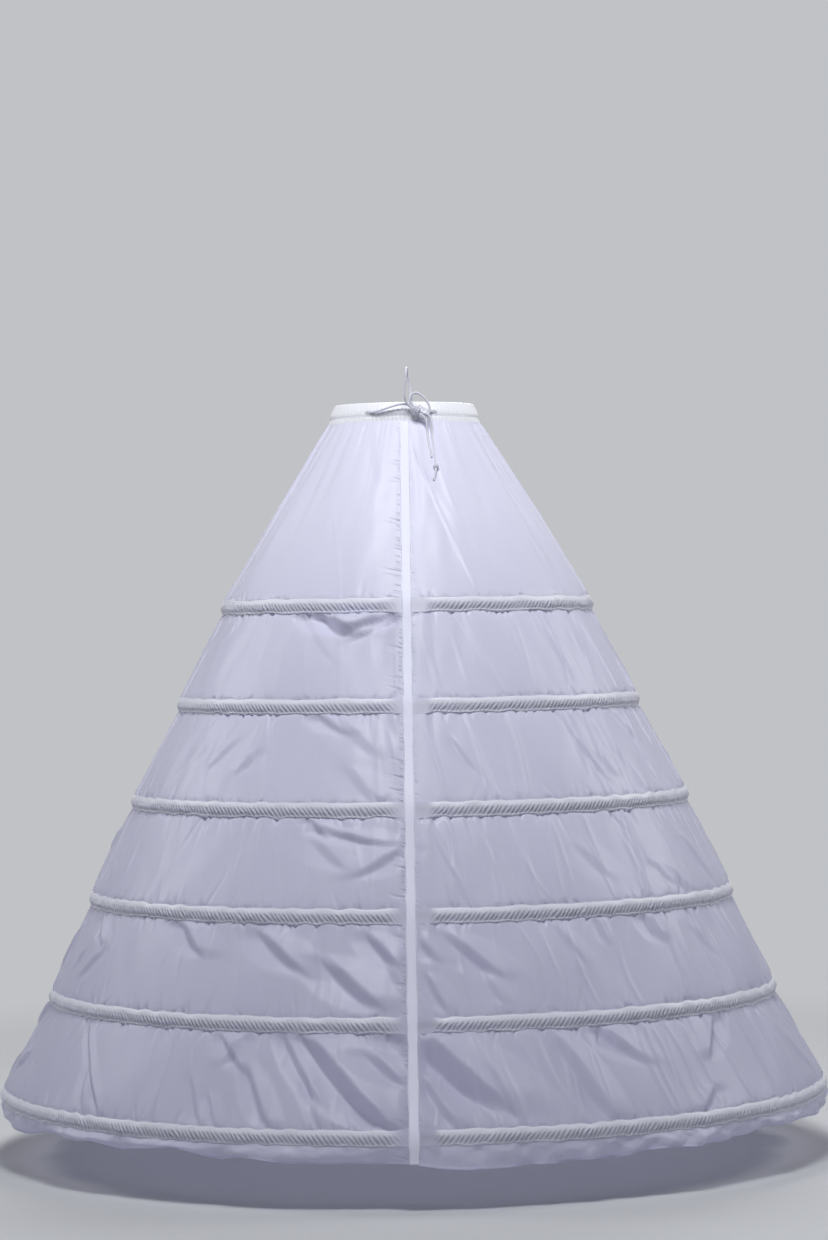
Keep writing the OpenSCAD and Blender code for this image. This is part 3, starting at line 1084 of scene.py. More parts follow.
    def add_pulls(
        self, rng: np.random.Generator, tier: Tier, angle: np.ndarray, down: np.ndarray, push: np.ndarray
    ) -> None:
        """Adds short pulls that start at the stitches and fade into the cloth.

        Args:
            rng: Source of the random draws.
            tier: The tier.
            angle: Angles of the columns.
            down: Distances of the rows down the cloth.
            push: Distances of the cloth, changed in place.
        """
        for from_top in (True, False):
            radius = tier.top[0] if from_top else tier.bottom[0]
            if from_top and tier.number == 1:
                continue
            count = int(2 * math.pi * radius / self.pull_pitch)
            at = rng.uniform(-math.pi, math.pi, count)
            reach = 1.0 if from_top else 0.4 + 0.35 * self.slackness(tier)
            length = np.minimum(4 * MM + rng.exponential(9 * MM, count), 45 * MM) * reach
            width = rng.uniform(1.6, 3.4, count) * MM
            depth = self.pull_depth * rng.uniform(0.2, 1.5, count)
            lean = rng.normal(0.0, 0.35, count)
            away = down if from_top else tier.height - down
            for k in range(count):
                near = np.abs(angle - at[k]) * radius < 4 * width[k] + length[k]
                if not near.any():
                    continue
                across = (angle[near] - at[k])[None, :] * radius - lean[k] * away[:, None]
                shape = np.exp(-(across / width[k]) ** 2 - (away[:, None] / length[k]) ** 2)
                push[:, near] -= depth[k] * shape

    def add_crests(
        self, rng: np.random.Generator, tier: Tier, angle: np.ndarray, down: np.ndarray, push: np.ndarray
    ) -> None:
        """Adds thin crests that run down the cloth, most of them on the right of the back seam.

        Args:
            rng: Source of the random draws.
            tier: The tier.
            angle: Angles of the columns.
            down: Distances of the rows down the cloth.
            push: Distances of the cloth, changed in place.
        """
        for _ in range(int(2 * math.pi * tier.radius / self.crest_pitch)):
            at = rng.uniform(-math.pi, math.pi)
            lean = rng.normal(0.10, 0.12)
            bend = rng.normal(0.0, 1.2)
            width = rng.uniform(2.0, 4.5) * MM
            height = self.crest_height * rng.uniform(0.25, 1.0)
            middle = rng.uniform(0.2, 0.8) * tier.height
            spread = rng.uniform(0.25, 0.6) * tier.height
            shown = 1.0 if -0.05 < math.sin(at) else 0.25
            below = down[:, None] - middle
            across = (angle - at)[None, :] * tier.radius - lean * below - bend * below ** 2
            near = (np.abs(across) < 4 * width).any(axis=0)
            if near.any():
                shape = np.exp(-(across[:, near] / width) ** 2 - (below / spread) ** 4)
                push[:, near] += shown * height * shape

    def facet(
        self, tier: Tier, angle: np.ndarray, share: np.ndarray, start: Pair, slant: float, fall: float,
        width: float, drop: float,
    ) -> np.ndarray:
        """One fold: the cloth rises slowly to a ridge, turns away below it, and rises slowly again.

        Args:
            tier: The tier that it lies in.
            angle: Angles from the back seam.
            share: Shares of the way down.
            start: Distance round from the seam and share of the way down, where it starts.
            slant: Distance to the right for each metre down.
            fall: Share of the way down that it covers.
            width: Width of the side that is turned away.
            drop: How far the cloth drops over that width.

        Returns:
            Distances, outwards positive.
        """
        along = (share - start[1]) / fall
        ends = smoothstep(along, 0.0, 0.3) * smoothstep(1.0 - along, 0.0, 0.3)
        # The fold is narrower towards its ends
        wide = width * (0.45 + 0.55 * np.sqrt(np.clip(4 * along * (1 - along), 0.0, 1.0)))
        centre = start[0] + slant * (share - start[1]) * tier.height
        turn = 2 * math.pi * tier.radius
        across = angle * tier.radius - centre
        across = across - turn * np.round(across / turn)
        below = -across * math.copysign(1.0, slant) / math.sqrt(1 + slant * slant) / wide
        shape = np.zeros_like(below)
        for blur in self.facet_blurs:
            shape = shape + np.interp(below + blur, *self.facet_section)
        return drop * ends * shape / self.facet_gain


# ---- sub-assemblies


@dataclass
class Skirt:
    """The gored skirt: sheer tiers between ruched casings, and the loose hem.

    Attributes:
        hoops: The six hoops as packed.
        field: The cloth's unevenness.
        waist: Half-width, half-depth and level of the skirt's edge in the waistband.
        above: How far outside a hoop the cloth comes down to the stitches above it.
        below: How far outside a hoop the cloth leaves the stitches below it.
        dips: How far the stitches above and below a hoop pull the cloth in.
        dip_reach: How far along the cloth that pull is felt.
        casing: Section of a casing: share of its half-height, and distance out from the hoop in millimetres.
        overlap: How far a casing's edges reach past its stitches.
        edges: How dense a casing is: shares of its half-height, and values from 0 to 1. Its turned edges are
            denser than the single cloth between them.
        ruching: The gathers of the casings.
        opening: Width of the casing's opening beside the back seam.
        free: How far the cloth stands out below a hoop where its casing is open.
        densities_with_painted_shade: How dense the cloth looks: tier's number plus share of the way down, and a
            value from 0 to 1. The values fall towards the hem, so the lower cloth lets more light through and
            looks darker: painted shade for the light's falloff down the skirt.
        column: Spacing of the cloth's columns.
        row: Spacing of the cloth's rows.
        ruche_step: Spacing of the ruching's columns.
        wobble_size: How far a row of stitches strays from its level.
        hem_drop: Drop of the loose hem.
        hem_wave: How far the hem waves in and out.
        hem_rise: How far the hem's edge waves up and down.
        hem_shift: How much later the hem's edge rises than it waves out.
        hem_lifts: Where the hem is caught up: angle from the back seam in degrees, and height in millimetres.
        crumple: Depth of the creases in the hem.
        allowance: What the seams and the hem take of each side of a gore's flat cloth.
    """

    hoops: list[Hoop]
    field: FoldField
    waist: Point = (110 * MM, 94 * MM, -27 * MM)
    above: float = -1.0 * MM
    below: float = 0.8 * MM
    dips: Pair = (0.8 * MM, 0.4 * MM)
    dip_reach: float = 3.2 * MM
    casing: tuple[Pair, ...] = (
        (1.00, -1.8), (0.94, -1.2), (0.85, -0.5), (0.70, 0.3), (0.55, 0.9), (0.41, 1.3), (0.28, 1.5),
        (0.14, 1.6), (0.00, 1.6), (-0.14, 1.6), (-0.28, 1.5), (-0.42, 1.4), (-0.55, 1.3), (-0.66, 1.3),
        (-0.74, 1.4), (-0.81, 1.6), (-0.87, 1.8), (-0.92, 1.7), (-0.96, 1.2), (-1.00, 0.4),
    )
    overlap: float = 0.3 * MM
    edges: tuple[tuple[float, ...], tuple[float, ...]] = ((-0.85, -0.65, 0.15, 0.4), (1.0, 0.5, 0.5, 1.0))
    ruching: Gathers = Gathers(
        pitch=6.8 * MM, slant=-8.0 * MM, depth=3.6 * MM, irregular=0.42, middle=-0.24, spread=0.46, seed=3.0
    )
    opening: float = 26 * MM
    free: float = 7 * MM
    # Lower values towards the hem let more light through and darken the lower tiers: painted shade for the light's
    # falloff down the skirt
    densities_with_painted_shade: tuple[Pair, ...] = (
        (1.0, 0.92), (1.5, 0.90), (2.0, 0.58), (3.0, 0.43), (4.0, 0.38), (5.0, 0.24), (6.0, 0.10), (7.0, 0.0),
        (7.2, 0.1),
    )
    column: float = 2.2 * MM
    row: float = 3.6 * MM
    ruche_step: float = 1.25 * MM
    wobble_size: float = 1.1 * MM
    hem_drop: float = 30 * MM
    hem_wave: float = 8 * MM
    hem_rise: float = 7 * MM
    hem_shift: float = math.radians(5)
    hem_lifts: tuple[Pair, ...] = (
        (-180, 2), (-130, 9), (-100, 3), (-62, 12), (-53, 10), (-47, 19), (-41, 11), (-33, 21), (-25, 4),
        (-18, 8), (-13, 14), (-6, 6), (0, -2), (12, -1), (20, 5), (27, 0), (32, 1), (37, 7), (41, 13), (50, 7),
        (61, 12), (70, 10), (100, 2), (140, 9), (180, 2),
    )
    crumple: float = 26 * MM
    allowance: float = 0.03

    def tiers(self) -> list[Tier]:
        """Divides the skirt at its stitches.

        Returns:
            The stretches between the waist, the casings and the hem's casing.
        """
        edges = [self.waist]
        for hoop in self.hoops:
            above, below = hoop.radius + self.above, hoop.radius + self.below
            edges += [(above, above, hoop.level + hoop.half), (below, below, hoop.level - hoop.half)]
        return [Tier(k + 1, edges[2 * k], edges[2 * k + 1]) for k in range(len(self.hoops))]

    @staticmethod
    def columns(gore: Gore, radius: float, step: float) -> np.ndarray:
        """Angles of a gore's columns at a given grid size."""
        first, last = gore.span
        return np.linspace(first, last, max(8, round((last - first) * radius / step)) + 1)

    def rows(self, tier: Tier) -> np.ndarray:
        """Lays out a tier's rows, which lie closer beside the stitches.

        Args:
            tier: The tier.

        Returns:
            Their shares of the way down.
        """
        edge = np.array([0.0, 1.2, 2.4]) * MM
        inner = np.linspace(self.row, tier.height - self.row, round(tier.height / self.row) - 1)
        return np.concatenate([edge, inner, tier.height - edge[::-1]]) / tier.height

    def hold(self, along: np.ndarray) -> np.ndarray:
        """How firmly the casings gather the cloth, from 0 to 1, at distances round from the back seam."""
        right = smoothstep(along, self.opening - 2 * MM, self.opening + 12 * MM)
        return np.clip(right + smoothstep(-along, 10 * MM, 36 * MM), 0.0, 1.0)

    def density_with_painted_shade(self, place: np.ndarray | float) -> np.ndarray:
        """How dense the cloth looks, from 0 to 1, at a tier's number plus the share of the way down it; its fall
        towards the hem is painted shade.
        """
        return np.interp(place, *np.array(self.densities_with_painted_shade).T)

    def free_span(self, along: np.ndarray, share: np.ndarray) -> np.ndarray:
        """How far out the cloth below an open casing stands, at distances round and shares of the way down."""
        return self.free * (1 - self.hold(along)) * (1 - share) ** 2

    def stitch_dip(self, tier: Tier, share: np.ndarray) -> np.ndarray:
        """How far the stitches above and below a tier pull its cloth in.

        Args:
            tier: The tier.
            share: Shares of the way down.

        Returns:
            Distances inwards.
        """
        down = share * tier.height
        top = self.dips[1] * np.exp(-(down / self.dip_reach) ** 2) if tier.number > 1 else 0.0
        return top + self.dips[0] * np.exp(-((tier.height - down) / self.dip_reach) ** 2)

    def wobble(self, hoop: int, upper: bool, angle: np.ndarray) -> np.ndarray:
        """How far a row of stitches strays from its level.

        Args:
            hoop: Number of the hoop, counted from 1; 0 is the waist, which is straight.
            upper: Whether the row is the one above the hoop.
            angle: Angles from the back seam.

        Returns:
            Distances, upwards positive.
        """
        if hoop == 0:
            return np.zeros_like(angle)
        rng = np.random.default_rng(300 + 2 * hoop + int(upper))
        turns = (9, 14 + 26 * hoop)
        return self.wobble_size * FoldField.waves(rng, angle, np.zeros_like(angle), turns, 0.0)

    def tier_patch(self, tier: Tier, gore: Gore) -> Patch:
        """One tier of one gore.

        Args:
            tier: The tier.
            gore: The gore.

        Returns:
            Its patch of cloth.
        """
        angle = self.columns(gore, tier.bottom[0], self.column)[None, :]
        share = self.rows(tier)[:, None]
        push = self.field.height(tier, angle, share)
        push = push - self.stitch_dip(tier, share) * self.hold(angle * tier.radius)
        if tier.number == 1:
            push = push + self.waist_gathers(tier, angle, share)
        stray = self.wobble(tier.number - 1, False, angle) * (1 - share) ** 3
        stray = stray + self.wobble(tier.number, True, angle) * share ** 3
        # The lower tiers look darker through their lower values here: painted shade
        dense = np.broadcast_to(self.density_with_painted_shade(tier.number + share), push.shape)
        angle, share = np.broadcast_arrays(angle, share)
        cloth = np.stack([angle * tier.radius, -share * tier.height - tier.number], axis=-1)
        points = tier.surface(angle, share, push)
        points[..., 2] += stray
        if tier.number > 1:
            span = self.free_span(angle * tier.radius, share)
            points += round_axis(angle, span, span, np.zeros_like(span))
        return Patch(points, cloth, {"dense": dense})

    @staticmethod
    def waist_gathers(tier: Tier, angle: np.ndarray, share: np.ndarray) -> np.ndarray:
        """Gathers under the waistband, deepest at the sides, that open into broad soft folds.

        Args:
            tier: The tier under the waistband.
            angle: Angles from the back seam.
            share: Shares of the way down.

        Returns:
            Distances, outwards positive.
        """
        rng = np.random.default_rng(51)
        down = share * tier.height
        wander = FoldField.waves(rng, angle, down, (3, 24), 5.0)
        small = np.sin(64 * angle + 2.6 * wander) * np.exp(-down / (26 * MM))
        uneven = np.clip(0.5 + 0.8 * FoldField.waves(rng, angle, 0 * down, (3, 20), 0.0), 0.05, 1.6)
        sides = 0.35 + 0.65 * np.abs(np.sin(angle)) ** 1.5
        broad = FoldField.waves(rng, angle, down, (14, 34), 5.0) * np.exp(-((share - 0.32) / 0.34) ** 2)
        return (1.9 * MM * small * uneven + 2.4 * MM * broad) * sides * smoothstep(share, 0.0, 0.04)

    def hem_patch(self, gore: Gore) -> Patch:
        """The loose hem of one gore, which waves and ends in a narrow turned edge.

        Args:
            gore: The gore.

        Returns:
            Its patch of cloth.
        """
        hoop = self.hoops[-1]
        angle = self.columns(gore, hoop.radius, self.column)[None, :]
        share = np.concatenate([np.linspace(0.0, 0.90, 14), [0.925, 0.95, 0.98, 1.0, 1.0, 0.86]])[:, None]
        turned = np.concatenate([np.zeros(14), [-0.7, -1.0, -1.0, -0.6, 0.7, 1.0]])[:, None] * MM

        def roll(turn: np.ndarray) -> np.ndarray:
            """The hem's slow wave at angles from the back seam."""
            return 0.6 * np.sin(13 * turn) + 0.4 * np.sin(20 * turn + math.radians(50))

        wave, rise = roll(angle), roll(angle + self.hem_shift)
        fine = 0.5 * np.sin(33 * angle + 1.1) + 0.35 * np.sin(47 * angle + 2.0 * share)
        rng = np.random.default_rng(88)
        pleat = FoldField.waves(rng, angle, share, (90, 260), 1.5) * np.exp(-share * 1.6)
        dip = self.dips[1] * np.exp(-(share * self.hem_drop / self.dip_reach) ** 2)
        start = hoop.radius + self.below - dip * self.hold(angle * hoop.radius)
        # The hem leans out at the back and the front, and in at the sides
        lean = (2.0 - 7.0 * np.sin(angle) ** 2) * MM
        turn = np.degrees(np.mod(angle + math.pi, 2 * math.pi)) - 180
        lift = np.interp(turn, *np.array(self.hem_lifts).T) * MM
        start = start + self.free_span(angle * hoop.radius, share)
        radius = start + (2 * MM + 0.3 * lift) * np.sin(share * math.pi) + lean * share - turned
        radius = radius + share * self.hem_wave * (wave + 0.45 * fine) + self.hem_creases(angle, share)
        radius = radius + 0.9 * MM * pleat * smoothstep(share, 0.0, 0.2)
        z = hoop.level - hoop.half - share * self.hem_drop + share * self.hem_rise * (rise + 0.3 * fine)
        z = z + lift * share ** 1.4
        z = z + self.wobble(len(self.hoops), False, angle) * (1 - share)
        angle, radius = np.broadcast_arrays(angle, radius)
        down = np.broadcast_to(share * self.hem_drop, angle.shape)
        # The hem's low value darkens it: painted shade, like the lower tiers
        dense = np.full_like(radius, self.density_with_painted_shade(len(self.hoops) + 1.2))
        cloth = np.stack([angle * hoop.radius, -down - 8.0], axis=-1)
        return Patch(round_axis(angle, radius, radius, z), cloth, {"dense": dense})

    def hem_creases(self, angle: np.ndarray, share: np.ndarray) -> np.ndarray:
        """Shallow creases of the hem, most of them on the right of the back seam.

        Args:
            angle: Angles from the back seam.
            share: Shares of the way down.

        Returns:
            Distances, outwards positive.
        """
        rng = np.random.default_rng(89)
        total = np.zeros(np.broadcast(angle, share).shape)
        for _ in range(5):
            turns, slope = int(rng.integers(24, 70)), rng.uniform(-5.0, 5.0)
            cycles = (turns * angle + slope * share) / (2 * math.pi) + rng.uniform()
            total = total + np.abs(np.mod(cycles, 1.0) - 0.5) - 0.25
        most = 0.4 + 0.6 * smoothstep(np.sin(angle), 0.05, 0.3)
        flat = smoothstep(np.abs(np.sin(angle / 2)) * 2 * self.hoops[-1].radius, *self.field.seam_flat)
        return self.crumple * total / 5 * most * flat * smoothstep(share, 0.0, 0.35)

    def ruche_patch(self, number: int, gore: Gore) -> Patch:
        """The cloth over a hoop, held in by a row of stitches above and below.

        Args:
            number: Number of the hoop, counted from 1.
            gore: The gore.

        Returns:
            A strip that bulges over the hoop, with the numbers that its gathers need.
        """
        hoop = self.hoops[number - 1]
        angle = self.columns(gore, hoop.radius, self.ruche_step)[None, :]
        section = np.array(self.casing)
        across, bulge = section[:, :1], section[:, 1:] * MM
        along = angle * hoop.radius
        hold = self.hold(along)
        rng = np.random.default_rng(400 + number)
        swell = 1.0 + 0.22 * FoldField.waves(rng, angle, np.zeros_like(angle), (12, 90), 0.0)
        held = np.where(bulge > 0, bulge * swell, bulge)
        flat = self.open_section(across)
        radius = hoop.radius + hold * held + (1 - hold) * flat
        stray_up, stray_down = self.wobble(number, True, angle), self.wobble(number, False, angle)
        z = hoop.level + across * (hoop.half + self.overlap)
        z = z + np.where(across > 0, stray_up * np.abs(across), stray_down * np.abs(across))
        shape = np.broadcast(angle, across).shape
        angle, along, across, hold = (np.broadcast_to(x, shape) for x in (angle, np.abs(along), across, hold))
        cloth = np.stack([angle * hoop.radius, across * hoop.half - 20.0], axis=-1)
        # The turned edges are really denser; the open stretch takes the tiers' values, painted shade included
        dense = hold * np.interp(across, *self.edges) + (1 - hold) * self.density_with_painted_shade(number + 1.0)
        # The ruching is deeper low down, where there is more cloth in it, and at the sides
        gather = hold * (0.8 + 0.06 * number) * (1.0 + 0.35 * np.sin(angle) ** 2)
        extra = {"along": along + number, "across": across, "hold": gather, "dense": dense}
        return Patch(round_axis(angle, radius, radius, z), cloth, extra)

    def open_section(self, across: np.ndarray) -> np.ndarray:
        """Distance out from the hoop where a casing is open, at shares of its half-height."""
        return np.interp(across, [-1.0, 1.0], [self.below + self.free, self.above])

    def stitch_lines(self) -> list[np.ndarray]:
        """The rows of stitches above and below each hoop.

        Returns:
            Lines of points.
        """
        lines = []
        for number, hoop in enumerate(self.hoops, 1):
            first = (self.opening + 12 * MM) / hoop.radius
            angle = np.linspace(first, 2 * math.pi - 34 * MM / hoop.radius, 700)
            for side in (1, -1):
                edge = self.above - self.dips[0] if side > 0 else self.below - self.dips[1]
                r = hoop.radius + edge + 0.5 * MM
                z = hoop.level + side * (hoop.half + 0.5 * MM) + self.wobble(number, side > 0, angle)
                lines.append(round_axis(angle, r, r, z))
        return lines

    def build(self, cloth: Material, ruched: Material) -> None:
        """Builds the four gores and their ruching.

        Args:
            cloth: Material of the tiers and the hem.
            ruched: Material of the casings.
        """
        for gore in Gore:
            patches = [self.tier_patch(tier, gore) for tier in self.tiers()] + [self.hem_patch(gore)]
            sheet = mesh_from_patches(gore.node + "_cloth", patches, cloth)
            strips = [self.ruche_patch(number, gore) for number in range(1, len(self.hoops) + 1)]
            ruche = mesh_from_patches(gore.node + "_ruching", strips)
            self.ruching.press(ruche, ruched)
            for piece in (sheet, ruche):
                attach(piece, BODY)
            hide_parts(gore.node)
            length = sum(t.height for t in self.tiers()) + self.hem_drop
            report(sheet)
            report(ruche)


@dataclass
class SeamBinding:
    """The binding over the back seam, a narrow doubled strip sewn along both edges.

    Attributes:
        skirt: The skirt that it lies on.
        width: Its width.
        lift: How far it lies off the cloth.
        row: Spacing of its rows.
        bridge: Length over which it bridges the cloth's dips.
        top: Level of its upper end.
        crown: How far its middle stands out from its edges.
        pucker: How far its sewn edges pucker.
        pucker_pitch: Length over which a pucker turns by a radian.
        sway: How far its edges stray to the side.
        jitter: How far its rows stray from their levels.
        thickness: Thickness of its doubled cloth.
        inset: How far in from both edges, in all, its stitches lie.
    """

    skirt: Skirt
    width: float = 14.5 * MM
    lift: float = 0.7 * MM
    row: float = 1.6 * MM
    bridge: float = 11.0 * MM
    top: float = -28 * MM
    crown: float = 0.35 * MM
    pucker: float = 0.4 * MM
    pucker_pitch: float = 4.6 * MM
    sway: float = 0.5 * MM
    jitter: float = 0.06 * MM
    thickness: float = 0.5 * MM
    inset: float = 3 * MM

    def spine(self) -> np.ndarray:
        """The skirt's back line from the waistband to the hem.

        Returns:
            Rows of the depth of the strip's edges, the depth of its middle, and the level.
        """
        line: list[Pair] = []
        for tier, hoop in zip(self.skirt.tiers(), self.skirt.hoops):
            top = self.top if tier.number == 1 else tier.top[2]
            share = np.linspace((tier.top[2] - top) / (tier.top[2] - tier.bottom[2]), 1.0, 80)
            none = np.zeros_like(share)
            span = self.skirt.free_span(none, share) if tier.number > 1 else none
            line += [(out - p[1], p[2]) for p, out in zip(tier.surface(none, share, none), span)]
            for across in np.linspace(0.95, -0.95, 17):
                out = float(self.skirt.open_section(np.array(across)))
                line.append((hoop.radius + out, hoop.level + across * (hoop.half + self.skirt.overlap)))
        hem = self.skirt.hem_patch(Gore.BACK_RIGHT).points[:, 0]
        line += [(-p[1], p[2]) for p in hem[1:15]]
        depth, level = np.array(line).T
        even = np.linspace(level[0], level[-1], round((level[0] - level[-1]) / self.row) + 1)
        depth = np.interp(-even, -level, depth)
        # The strip bridges the dips beside the casings
        reach = round(3 * self.bridge / self.row)
        kernel = np.exp(-((np.arange(-reach, reach + 1) * self.row / self.bridge) ** 2) / 2)
        slope = (even - even[0]) * (depth[-1] - depth[0]) / (even[-1] - even[0])
        kernel = kernel / kernel.sum()

        def soften(line: np.ndarray) -> np.ndarray:
            """The line with its corners rounded off."""
            return np.convolve(np.pad(line, reach, mode="edge"), kernel, mode="valid")

        smooth = soften(depth - slope) + slope
        short = np.maximum(depth - smooth, 0.0)
        half = reach // 2
        around = np.lib.stride_tricks.sliding_window_view(np.pad(short, half, mode="edge"), half * 2 + 1)
        return np.stack([np.maximum(smooth, depth), smooth + soften(around.max(axis=1)), even], axis=1)

    def depth(self, across: np.ndarray) -> np.ndarray:
        """Depth of the strip's underside in rows, at shares of its half-width."""
        edge, middle, _ = self.spine().T
        return edge[:, None] + (np.maximum(middle, edge) - edge)[:, None] * (1 - 0.35 * across ** 4)

    def stitch_lines(self) -> list[np.ndarray]:
        """A row of stitches along each edge.

        Returns:
            Lines of points.
        """
        level = self.spine()[:, 2]
        inset = 1 - self.inset / self.width
        out = self.depth(np.array([[inset]]))[:, 0] + self.lift + 0.6 * MM
        aside = np.full_like(level, inset * self.width / 2)
        return [np.stack([side * aside, -out, level], axis=-1) for side in (-1, 1)]

    def build(self, cloth: Material) -> None:
        """Builds the strip and dresses it.

        Args:
            cloth: Material of the strip.
        """
        spine = self.spine()
        across = np.linspace(-1.0, 1.0, 13)[None, :]
        rng = np.random.default_rng(77)
        down = run_lengths(spine[:, ::2])[:, None]
        pucker = np.sin(down / self.pucker_pitch + 0.8 * np.sin(down / 0.021)) * np.abs(across) ** 2
        pucker = pucker * (0.5 + 0.5 * np.sin(down / 0.037 + 1.0))
        edge_wave = self.sway * np.sin(down / 0.013 + 2 * np.sin(down / 0.06)) * across
        crown = self.lift + self.crown * (1 - across ** 4) + self.pucker * pucker
        depth, level = self.depth(across), spine[:, 2:]
        x = across * self.width / 2 + edge_wave
        y = -(depth + crown) + 0.5 * x ** 2 / np.maximum(depth, 0.1)
        z = np.broadcast_to(level + self.jitter * rng.standard_normal(level.shape), x.shape)
        cloth_uv = np.stack([x, np.broadcast_to(-down, x.shape)], axis=-1)
        strip = mesh_from_patches("back_seam_strip", [Patch(np.stack([x, y, z], axis=-1), cloth_uv)], cloth)
        thicken(strip, self.thickness)
        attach(strip, BODY)
        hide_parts("back_seam_binding")
        report(strip)


@dataclass
class Waistband:
    """The folded, gathered band that the drawstring runs in.

    Attributes:
        half_width: Half-width of its mid-line at the top.
        half_depth: Half-depth of its mid-line at the top.
        flare: How far it spreads from top to bottom.
        height: Its height.
        outside: Its section up the outside: distance out from the mid-line, and level, in millimetres.
        inside: The same down the inside.
        puff: How far the pull of the bow makes it stand out under the free ends.
        gathers: Its gathers.
        holds: How firm the gathers are: distance along its section in millimetres, and a value from 0 to 1.
        thickness: Thickness of its cloth.
        seam_level: Level of the stitches under the drawstring's channel.
        slit_level: Level of the buttonholes.
        slit_size: Half-length and half-height of a buttonhole.
        slits: Places of the two buttonholes, across.
        step: Spacing of its rows.
        columns: Number of its columns.
    """

    half_width: float = 100 * MM
    half_depth: float = 84 * MM
    flare: float = 10 * MM
    height: float = 32 * MM
    outside: tuple[Pair, ...] = (
        (0.9, -32), (1.3, -30.5), (1.7, -28), (2.1, -25), (2.4, -22.5), (2.3, -20.8), (2.2, -19.8), (2.7, -18.8),
        (3.3, -17), (3.6, -14.5), (3.6, -12), (3.2, -9), (2.7, -6), (2.2, -3.5), (1.7, -1.6), (0.9, -0.4),
    )
    inside: tuple[Pair, ...] = (
        (0.0, 0.0), (-0.9, -0.4), (-1.7, -1.6), (-2.6, -5), (-3.3, -12), (-3.3, -18), (-2.4, -25), (-1.5, -31.8),
    )
    puff: float = 2.4 * MM
    gathers: Gathers = Gathers(
        pitch=5.0 * MM, slant=0.0, depth=1.5 * MM, irregular=0.5, middle=0.0, spread=1.0, seed=11.0
    )
    holds: tuple[Pair, ...] = (
        (0.0, 0.9), (7.1, 1.0), (12.0, 0.8), (18.0, 0.8), (29.0, 0.45), (33.0, 0.1), (67.0, 0.5),
    )
    thickness: float = 0.4 * MM
    seam_level: float = -20.3 * MM
    slit_level: float = -14.9 * MM
    slit_size: Pair = (6.0 * MM, 1.9 * MM)
    slits: tuple[float, ...] = (-50 * MM, 41.5 * MM)
    step: float = 1.2 * MM
    columns: int = 620

    def profile(self) -> tuple[np.ndarray, np.ndarray]:
        """Its section in even steps.

        Returns:
            Rows of a distance out and a level, up the outside and down the inside, and each row's distance along.
        """
        rough = np.array(self.outside + self.inside) * MM
        run = run_lengths(rough)
        along = np.linspace(0.0, run[-1], round(run[-1] / self.step) + 1)
        return np.stack([np.interp(along, run, rough[:, k]) for k in (0, 1)], axis=1), along

    def axes(self, out: np.ndarray, level: np.ndarray) -> tuple[np.ndarray, np.ndarray]:
        """Half-axes across and deep at a distance out from the mid-line and a level."""
        spread = self.flare * (-level / self.height)
        return self.half_width + spread + out, self.half_depth + spread + out

    def slit_angles(self) -> list[Pair]:
        """Places the buttonholes.

        Returns:
            Angle of each one from the back seam, and the band's arc for a radian there.
        """
        a, b = self.axes(self.outer(self.slit_level), self.slit_level)
        turns = [math.asin(x / a) for x in self.slits]
        return [(t, math.hypot(a * math.cos(t), b * math.sin(t))) for t in turns]

    def outer(self, level: np.ndarray) -> np.ndarray:
        """Distance of the outside from the mid-line at a level."""
        out, levels = np.array(self.outside).T * MM
        return np.interp(level, levels, out)

    def from_slit(self, angle: np.ndarray, level: np.ndarray) -> np.ndarray:
        """How far places on the outside are from the nearest buttonhole's middle.

        Args:
            angle: Angles from the back seam.
            level: Levels.

        Returns:
            Distances in the buttonhole's half-sizes.
        """
        far = [
            np.hypot((angle - turn) * arc / self.slit_size[0], (level - self.slit_level) / self.slit_size[1])
            for turn, arc in self.slit_angles()
        ]
        return np.minimum(*far)

    def stitch_lines(self) -> list[np.ndarray]:
        """The row of stitches under the drawstring's channel.

        Returns:
            One line of points.
        """
        angle = np.linspace(-math.pi, math.pi, 500)
        a, b = self.axes(self.outer(self.seam_level) + 0.45 * MM, self.seam_level)
        return [round_axis(angle, a, b, np.full_like(angle, self.seam_level))]

    def buttonhole_edges(self, worked: Material) -> None:
        """Adds the worked edge of each buttonhole.

        Args:
            worked: Material of the edges.
        """
        turn = np.linspace(0.0, 2 * math.pi, 49)
        names = ("left_buttonhole_edge", "right_buttonhole_edge")
        for name, (middle, arc) in zip(names, self.slit_angles()):
            angle = middle + np.cos(turn) * (self.slit_size[0] + 0.5 * MM) / arc
            level = self.slit_level + np.sin(turn) * (self.slit_size[1] + 0.5 * MM)
            a, b = self.axes(self.outer(level) + 0.1 * MM, level)
            path = round_axis(angle, a, b, level)
            edge = mesh_from_patches(name, [tube_patch(path, WORKED_RADIUS, 8)], worked)
            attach(edge, BODY)
            report(edge)

    def build(self, cloth: Material, worked: Material) -> None:
        """Builds the band and dresses it.

        Args:
            cloth: Material of the band.
            worked: Material of the buttonholes' edges.
        """
        profile, fall = self.profile()
        out, level = profile[:, :1], profile[:, 1:]
        top = int(np.argmax(level))
        outer = (np.arange(len(profile)) <= top)[:, None]
        angle = np.linspace(-math.pi, math.pi, self.columns, endpoint=False)[None, :]
        x = self.half_width * np.sin(angle)
        # The bow pulls the band out between the buttonholes, at the back
        swell = smoothstep(x, -46 * MM, -26 * MM) * smoothstep(-x, -38 * MM, -18 * MM) * (np.cos(angle) > 0)
        out = out + outer * self.puff * swell * np.exp(-(((level + 12 * MM) / (8 * MM)) ** 2))
        a, b = self.axes(out, level)
        points = round_axis(angle, a, b, np.broadcast_to(level, a.shape))
        along = np.broadcast_to(angle * (self.half_width + self.half_depth) / 2, a.shape)
